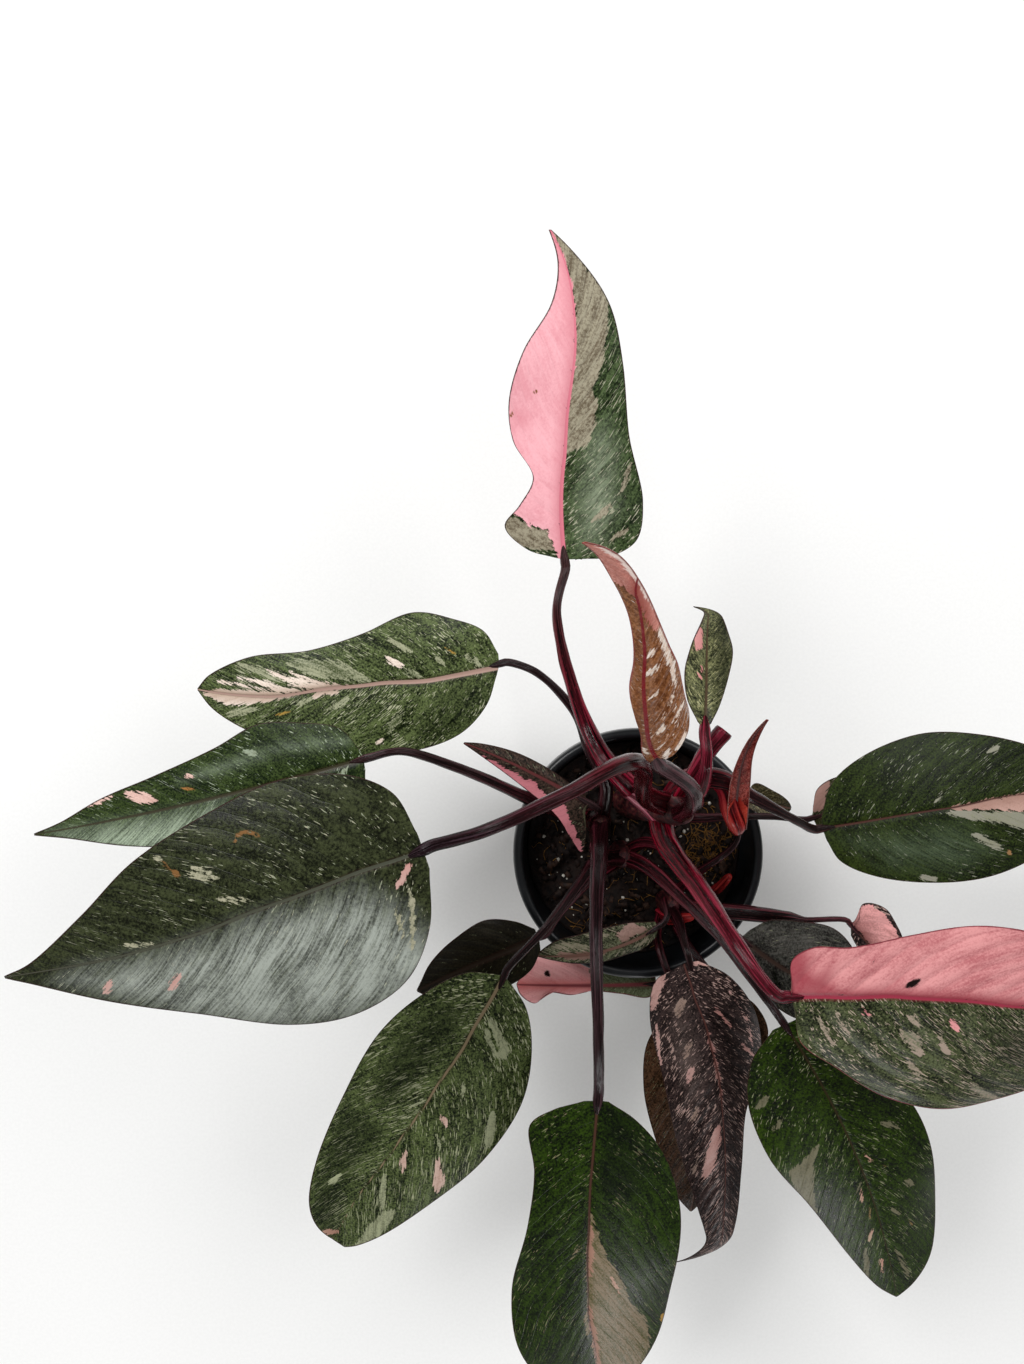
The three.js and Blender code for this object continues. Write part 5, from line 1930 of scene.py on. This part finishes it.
            DEEP, dark="060c03", light="334018", fleck="868c74", flecks=0.12, veins=0.15, pink="c49e92",
            deep_pink="957164", pale="908e80", deep_pale="8a8a74", scar="94704a", painted_sheen="4e5c46",
            rib="4a2e28", rib_width=0.45,
        ),
        stalk_finish=StalkFinish(
            foot="4a0814", head="1e1111", blush="9a2034", stripe="4c2c2c", red_until=0.4,
        ),
        pink=(
            Sector((0.42, 0.8), (0.5, 1.6), (0.66, 3.2), (0.8, 4.2), (1, 4.4), (1, 1), (0.8, -3),
                   (0.66, -3.6), (0.55, -1.6)),
        ),
        pale=(
            Sector((0.38, -0.5), (0.5, -2), (0.6, -3), (0.7, -5), (0.85, -6), (0.85, -11), (0.66, -11),
                   (0.56, -7)),
            Streak(1.3, (0.48, -11), (0.53, -14), (0.585, -17.5)), Streak(1.3, (0.56, 21), (0.6, 22.5)),
            Streak(0.7, (0.31, -25.5), (0.36, -26.5)), Streak(0.5, (0.36, 4), (0.39, 7)),
        ),
        scar=(Streak(0.9, (0.605, -19), (0.62, -20.5)),),
        sheen=(Sector((0.02, -3), (0.45, -3), (0.6, -20), (0.42, -27), (0.18, -22)),),
    ),
    Leaf(
        "right_under", Slot.PALE, (69, 17, 106), (109, 21, 98),
        sway=(2, 2), bow=(3, 2), fold=(20, 0), curl=(-10, -8),
        left=((0, 5), (0.04, 12), (0.16, 15), (0.47, 14), (0.8, 7)),
        right=((0.03, 4), (0.2, 10), (0.45, 12), (0.8, 8)),
        stalk=((-1, 21, 92, 2.8), (17, 17, 104, 2.2), (34, 18, 111, 1.8), (52, 18, 110, 1.6)),
        finish=replace(STRIPED, pink="c4998e", deep_pink="9f766d"),
        pink=(Sector((-0.1, 2), (0.1, 3), (0.16, 18), (-0.1, 18)),),
        quilt=0.25,
    ),
    Leaf(
        "dark_right", Slot.DEEP, (37, -29, 118), (92, -61, 104),
        sway=(-3, -3), bow=(5, 3), curl=(-12, -16),
        left=((0.02, 5), (0.1, 13), (0.3, 20), (0.52, 24), (0.75, 18), (0.92, 8)),
        right=((0.05, 5), (0.2, 11), (0.45, 15), (0.72, 14), (0.92, 7)),
        stalk=((-6, -1, 84, 2.8), (3, 6, 100, 2.4), (14, 2, 115, 2), (25, -12, 121, 1.7)),
        finish=replace(
            DEEP, dark="080706", light="504f4a", fleck="5e5c55", flecks=0.1, painted_sheen="6c6a64", veins=0.6,
            vein_step=5.0, roughness=0.34,
        ),
        sheen=(Sector((0, 3), (0.25, 3), (0.5, 12), (0.4, 19), (0.15, 14)),),
    ),
    Leaf(
        "curled_right", Slot.BRONZE, (85, -27, 104), (111, -55, 92),
        bow=(2, 2), fold=(14, -20), curl=(-14, -10), ripple=(1, 3, 0),
        left=((0, 4), (-0.1, 9), (0.02, 14), (0.2, 15), (0.4, 13), (0.8, 8)),
        right=((0.1, 3), (0.5, 6), (0.85, 5)),
        stalk=((14, -23, 82, 3.2), (30, -23, 94, 3.4), (46, -23, 101, 3.4), (60, -24, 104, 3),
               (66, -24.5, 105, 1.4)),
        finish=replace(PURPLE, pink="eca9a7", deep_pink="7a443f"),
        stalk_finish=replace(BROWN_STALK, blush="6a2c34", stripe="7a3a46"),
        pink=(Sector((-0.12, 5), (-0.08, 10), (0.04, 12.5), (0.3, 12.5), (0.9, 6), (0.9, 0), (0, 1)),),
        quilt=0.3,
    ),
    Leaf(
        "olive_small", Slot.OLIVE, (42, 24, 104), (62, 20, 99),
        bow=(2, 2), fold=(20, 20), ripple=(0.6, 2, 0),
        left=((0, 3), (0.08, 8), (0.5, 6), (0.85, 3)),
        right=((0.05, 3), (0.4, 5), (0.85, 3)),
        stalk=((14, -22, 78, 2), (24, -9, 90, 1.8), (39, 7, 101, 1.5)),
        finish=replace(GREEN, dark="121405", light="706448", fleck="8a8668", flecks=0.5),
        quilt=0.2,
    ),
    Leaf(
        "back_small", Slot.BRONZE, (15, 56, 160), (23, 102, 128), face=(0.1, 0.3, 1),
        sway=(1, 3), bow=(5, 5), fold=(20, 20), curl=(-8, -8), hook=(-6, -1, 0),
        left=((0.02, 3), (0.14, 8), (0.32, 9), (0.52, 7), (0.77, 3)),
        right=((0.03, 2), (0.16, 5), (0.37, 8), (0.6, 9), (0.82, 6)),
        stalk=((7, 24, 134, 3.6), (15, 34, 151, 3.2), (15, 46, 163, 2.6)),
        finish=replace(
            GREEN, dark="0e1204", light="84865c", fleck="c4be8c", flecks=0.7, painted_shade=0.75, rib="463828",
            rib_width=0.5, pink="dc9a98", deep_pink="b4706c", vein_step=5.0,
        ),
        stalk_finish=RED_STALK,
        pink=(Sector((0.5, 5.5), (0.54, 2.6), (0.72, 2), (0.72, 5)), Streak(0.6, (0.3, 3), (0.4, 2.2))),
        painted_shade=(
            Sector((-0.02, -0.5), (1.05, -0.5), (1.05, -12), (-0.02, -12)),
            Sector((0.8, 6), (0.84, -2), (1.1, -2), (1.1, 6)),
        ),
        quilt=0.35,
    ),
    Leaf(
        "unfurling", Slot.BRONZE, (-8, 47, 206), (-37, 103, 292), face=(0.2, -1, 1),
        sway=(4, -20), bow=(11, -14), fold=(-10, -10), curl=(-45, -45), ripple=(0.6, 4, 0),
        left=((0, 2.5), (0.1, 3.5), (0.21, 3), (0.29, 4.5), (0.38, 6), (0.5, 4), (0.64, 3.5), (0.8, 4.5),
              (0.93, 2.5)),
        right=((0, 9), (0.03, 14), (0.1, 17), (0.28, 13.5), (0.41, 10.5), (0.51, 7), (0.61, 4.5),
               (0.75, 2.5), (0.9, 1.6)),
        stalk=((9, 25, 149, 4.2), (9, 30, 170, 3.8), (5, 38, 188, 3.2)),
        rib=((0, -0.5), (0.25, 1), (0.4, 1.5), (0.55, 0.5), (0.72, 0), (0.82, -3.6), (1, -4)),
        finish=COPPER,
        stalk_finish=StalkFinish(foot="2e0a10", head="301a1e", blush="642630", stripe="6c484e"),
        pink=(
            Sector((0.8, 6), (0.76, 1.5), (0.68, -0.4), (0.62, -1.6), (0.58, -3.4), (0.62, -8), (1.05, -6),
                   (1.05, 6)),
        ),
        # painted highlights on the pillows and along the margin
        pale=(
            Streak(0.9, (0.34, -9.4), (0.44, -7.4), (0.54, -5.4), (0.66, -3.4), (0.76, -2)),
            Streak(1.5, (0.015, -8), (0.04, -10.5), (0.07, -13)),
            Streak(0.9, (0.0, -1.4), (0.025, -3.4), (0.06, -4.4)),
            Streak(1.0, (0.2, -7.6), (0.22, -10), (0.235, -12.6)), Streak(0.7, (0.11, -1.5), (0.13, -4)),
            Streak(0.8, (0.2, -2), (0.225, -4.5)), Streak(0.7, (0.29, -6), (0.32, -8.6)),
            Streak(0.7, (0.365, -0.8), (0.375, -3.2)), Streak(0.7, (0.45, 0.2), (0.465, -2.8)),
            Streak(0.6, (0.51, -0.2), (0.525, -2.6)), Streak(0.6, (0.12, -11), (0.15, -13.5)),
            Streak(0.6, (0.1, 2), (0.14, 3)),
        ),
        # a painted highlight along the tip
        scar=(Streak(0.7, (0.66, -3.4), (0.76, -2.2), (0.86, -1.5), (0.97, -0.6)),),
        painted_shade=(
            Streak(0.6, (0.74, 2.2), (0.84, 2.4), (0.97, 1.4)),
            Streak(0.6, (0.56, -2), (0.66, -1.4), (0.74, -1.2)),
            Sector((0.05, 0.5), (0.55, 1.5), (0.5, 6), (0.3, 6), (0.1, 4)),
        ),
        quilt=1.3,
    ),
    Leaf(
        "cataphyll", Slot.BRACT, (31, 19, 136.5), (34, 59, 172),
        sway=(3, 7), bow=(0, -1), fold=(15, 15), curl=(60, 60), ripple=(0.3, 2, 0),
        left=((0, 4.5), (0.2, 5.4), (0.45, 4.6), (0.65, 2.8), (0.85, 1.5)),
        right=((0, 4.5), (0.2, 5.4), (0.45, 4.6), (0.65, 2.8), (0.85, 1.5)),
        finish=LeafFinish(
            dark="4f0805", light="b0544a", fleck="b87870", flecks=0.2, pink="dc5a48", deep_pink="8a1612",
            rib="4a1412", rib_width=0.5, vein="4a1412", veins=0.0, margin="5a2420", under="9a4a38",
            roughness=0.26, relief=0.4, coat=0.6,
        ),
        pink=(Sector((-0.1, 8), (-0.1, -8), (0.2, -8), (0.26, 0), (0.2, 8)),),
        painted_shade=(Sector((0.45, 3), (0.45, -3), (1.1, -3), (1.1, 3)),),
        quilt=0.1,
    ),
)


# ---------------- studio


@dataclass(frozen=True)
class Lamp:
    """One square soft light; its places are in metres."""

    name: str
    place: Point
    size: float
    watts: float
    aim: Point = (0, 0, 0.1)

    def hang(self) -> None:
        """Adds the light to the scene."""
        light = bpy.data.lights.new(self.name, "AREA")
        light.shape, light.size, light.energy = "SQUARE", self.size, self.watts
        lamp = bpy.data.objects.new(self.name, light)
        lamp.location = self.place
        lamp.rotation_euler = (Vector(self.aim) - Vector(self.place)).to_track_quat("-Z", "Y").to_euler()
        bpy.context.scene.collection.objects.link(lamp)


@dataclass
class Studio:
    """The floor, the soft lights and the camera, in metres."""

    floor_size: float = 8.0
    eye: Point = (-0.053, 0.072, 0.521)
    focal: float = 27.05
    sensor: float = 36.0
    clip_start: float = 0.01
    sky: float = 0.3
    lamps: tuple[Lamp, ...] = (
        Lamp("key", (-1.6, 1.5, 2.3), 1.5, 75.0),
        Lamp("fill", (1.6, 1.2, 2.3), 1.8, 35.0),
        Lamp("glint", (0.35, -1.9, 0.6), 0.25, 7.0, (0, 0, 0.2)),
    )

    def lay_floor(self) -> None:
        """Lays the pale floor."""
        bm = bmesh.new()
        bmesh.ops.create_grid(bm, x_segments=4, y_segments=4, size=self.floor_size / 2)
        mesh = bpy.data.meshes.new("floor")
        bm.to_mesh(mesh)
        bm.free()
        mesh.materials.append(FloorFinish().material())
        floor = bpy.data.objects.new("floor", mesh)
        bpy.context.scene.collection.objects.link(floor)

    def light_sky(self) -> None:
        """Fills the surroundings with an even white light."""
        world = bpy.data.worlds.new("studio")
        world.use_nodes = True
        background = world.node_tree.nodes["Background"]
        background.inputs["Color"].default_value = (1, 1, 1, 1)
        background.inputs["Strength"].default_value = self.sky
        bpy.context.scene.world = world

    def set_camera(self) -> None:
        """Sets the camera above the plant, looking straight down."""
        camera = bpy.data.cameras.new("camera")
        camera.lens, camera.sensor_width, camera.clip_start = self.focal, self.sensor, self.clip_start
        holder = bpy.data.objects.new("camera", camera)
        holder.location = self.eye
        bpy.context.scene.collection.objects.link(holder)
        bpy.context.scene.camera = holder

    def build(self) -> None:
        """Makes the floor, the sky, the lights and the camera."""
        bpy.context.scene.view_settings.view_transform = "Standard"
        self.lay_floor()
        self.light_sky()
        for lamp in self.lamps:
            lamp.hang()
        self.set_camera()


def build_plant() -> list[Piece]:
    """Builds the pot, the soil, the shoots, the buds and the leaves.

    Returns:
        The dressed pieces in the order in which they were made.
    """
    pieces = [Pot().build(), *Soil().build()]
    bark = ShootFinish().material()
    pieces += [shoot.build(number, bark) for number, shoot in enumerate(SHOOTS)]
    pieces += [bud.build(number) for number, bud in enumerate(BUDS)]
    for number, leaf in enumerate(LEAVES):
        pieces.append(Blade(leaf, number).build())
        if leaf.stalk:
            pieces.append(Stalk(leaf, number).build())
    return pieces


def main() -> None:
    """Builds every piece."""
    logging.basicConfig(level=logging.INFO, format="%(name)s: %(message)s")
    Studio().build()
    pieces = build_plant()
    LOG.info("%d pieces", len(pieces))


if __name__ == "__main__":
    main()
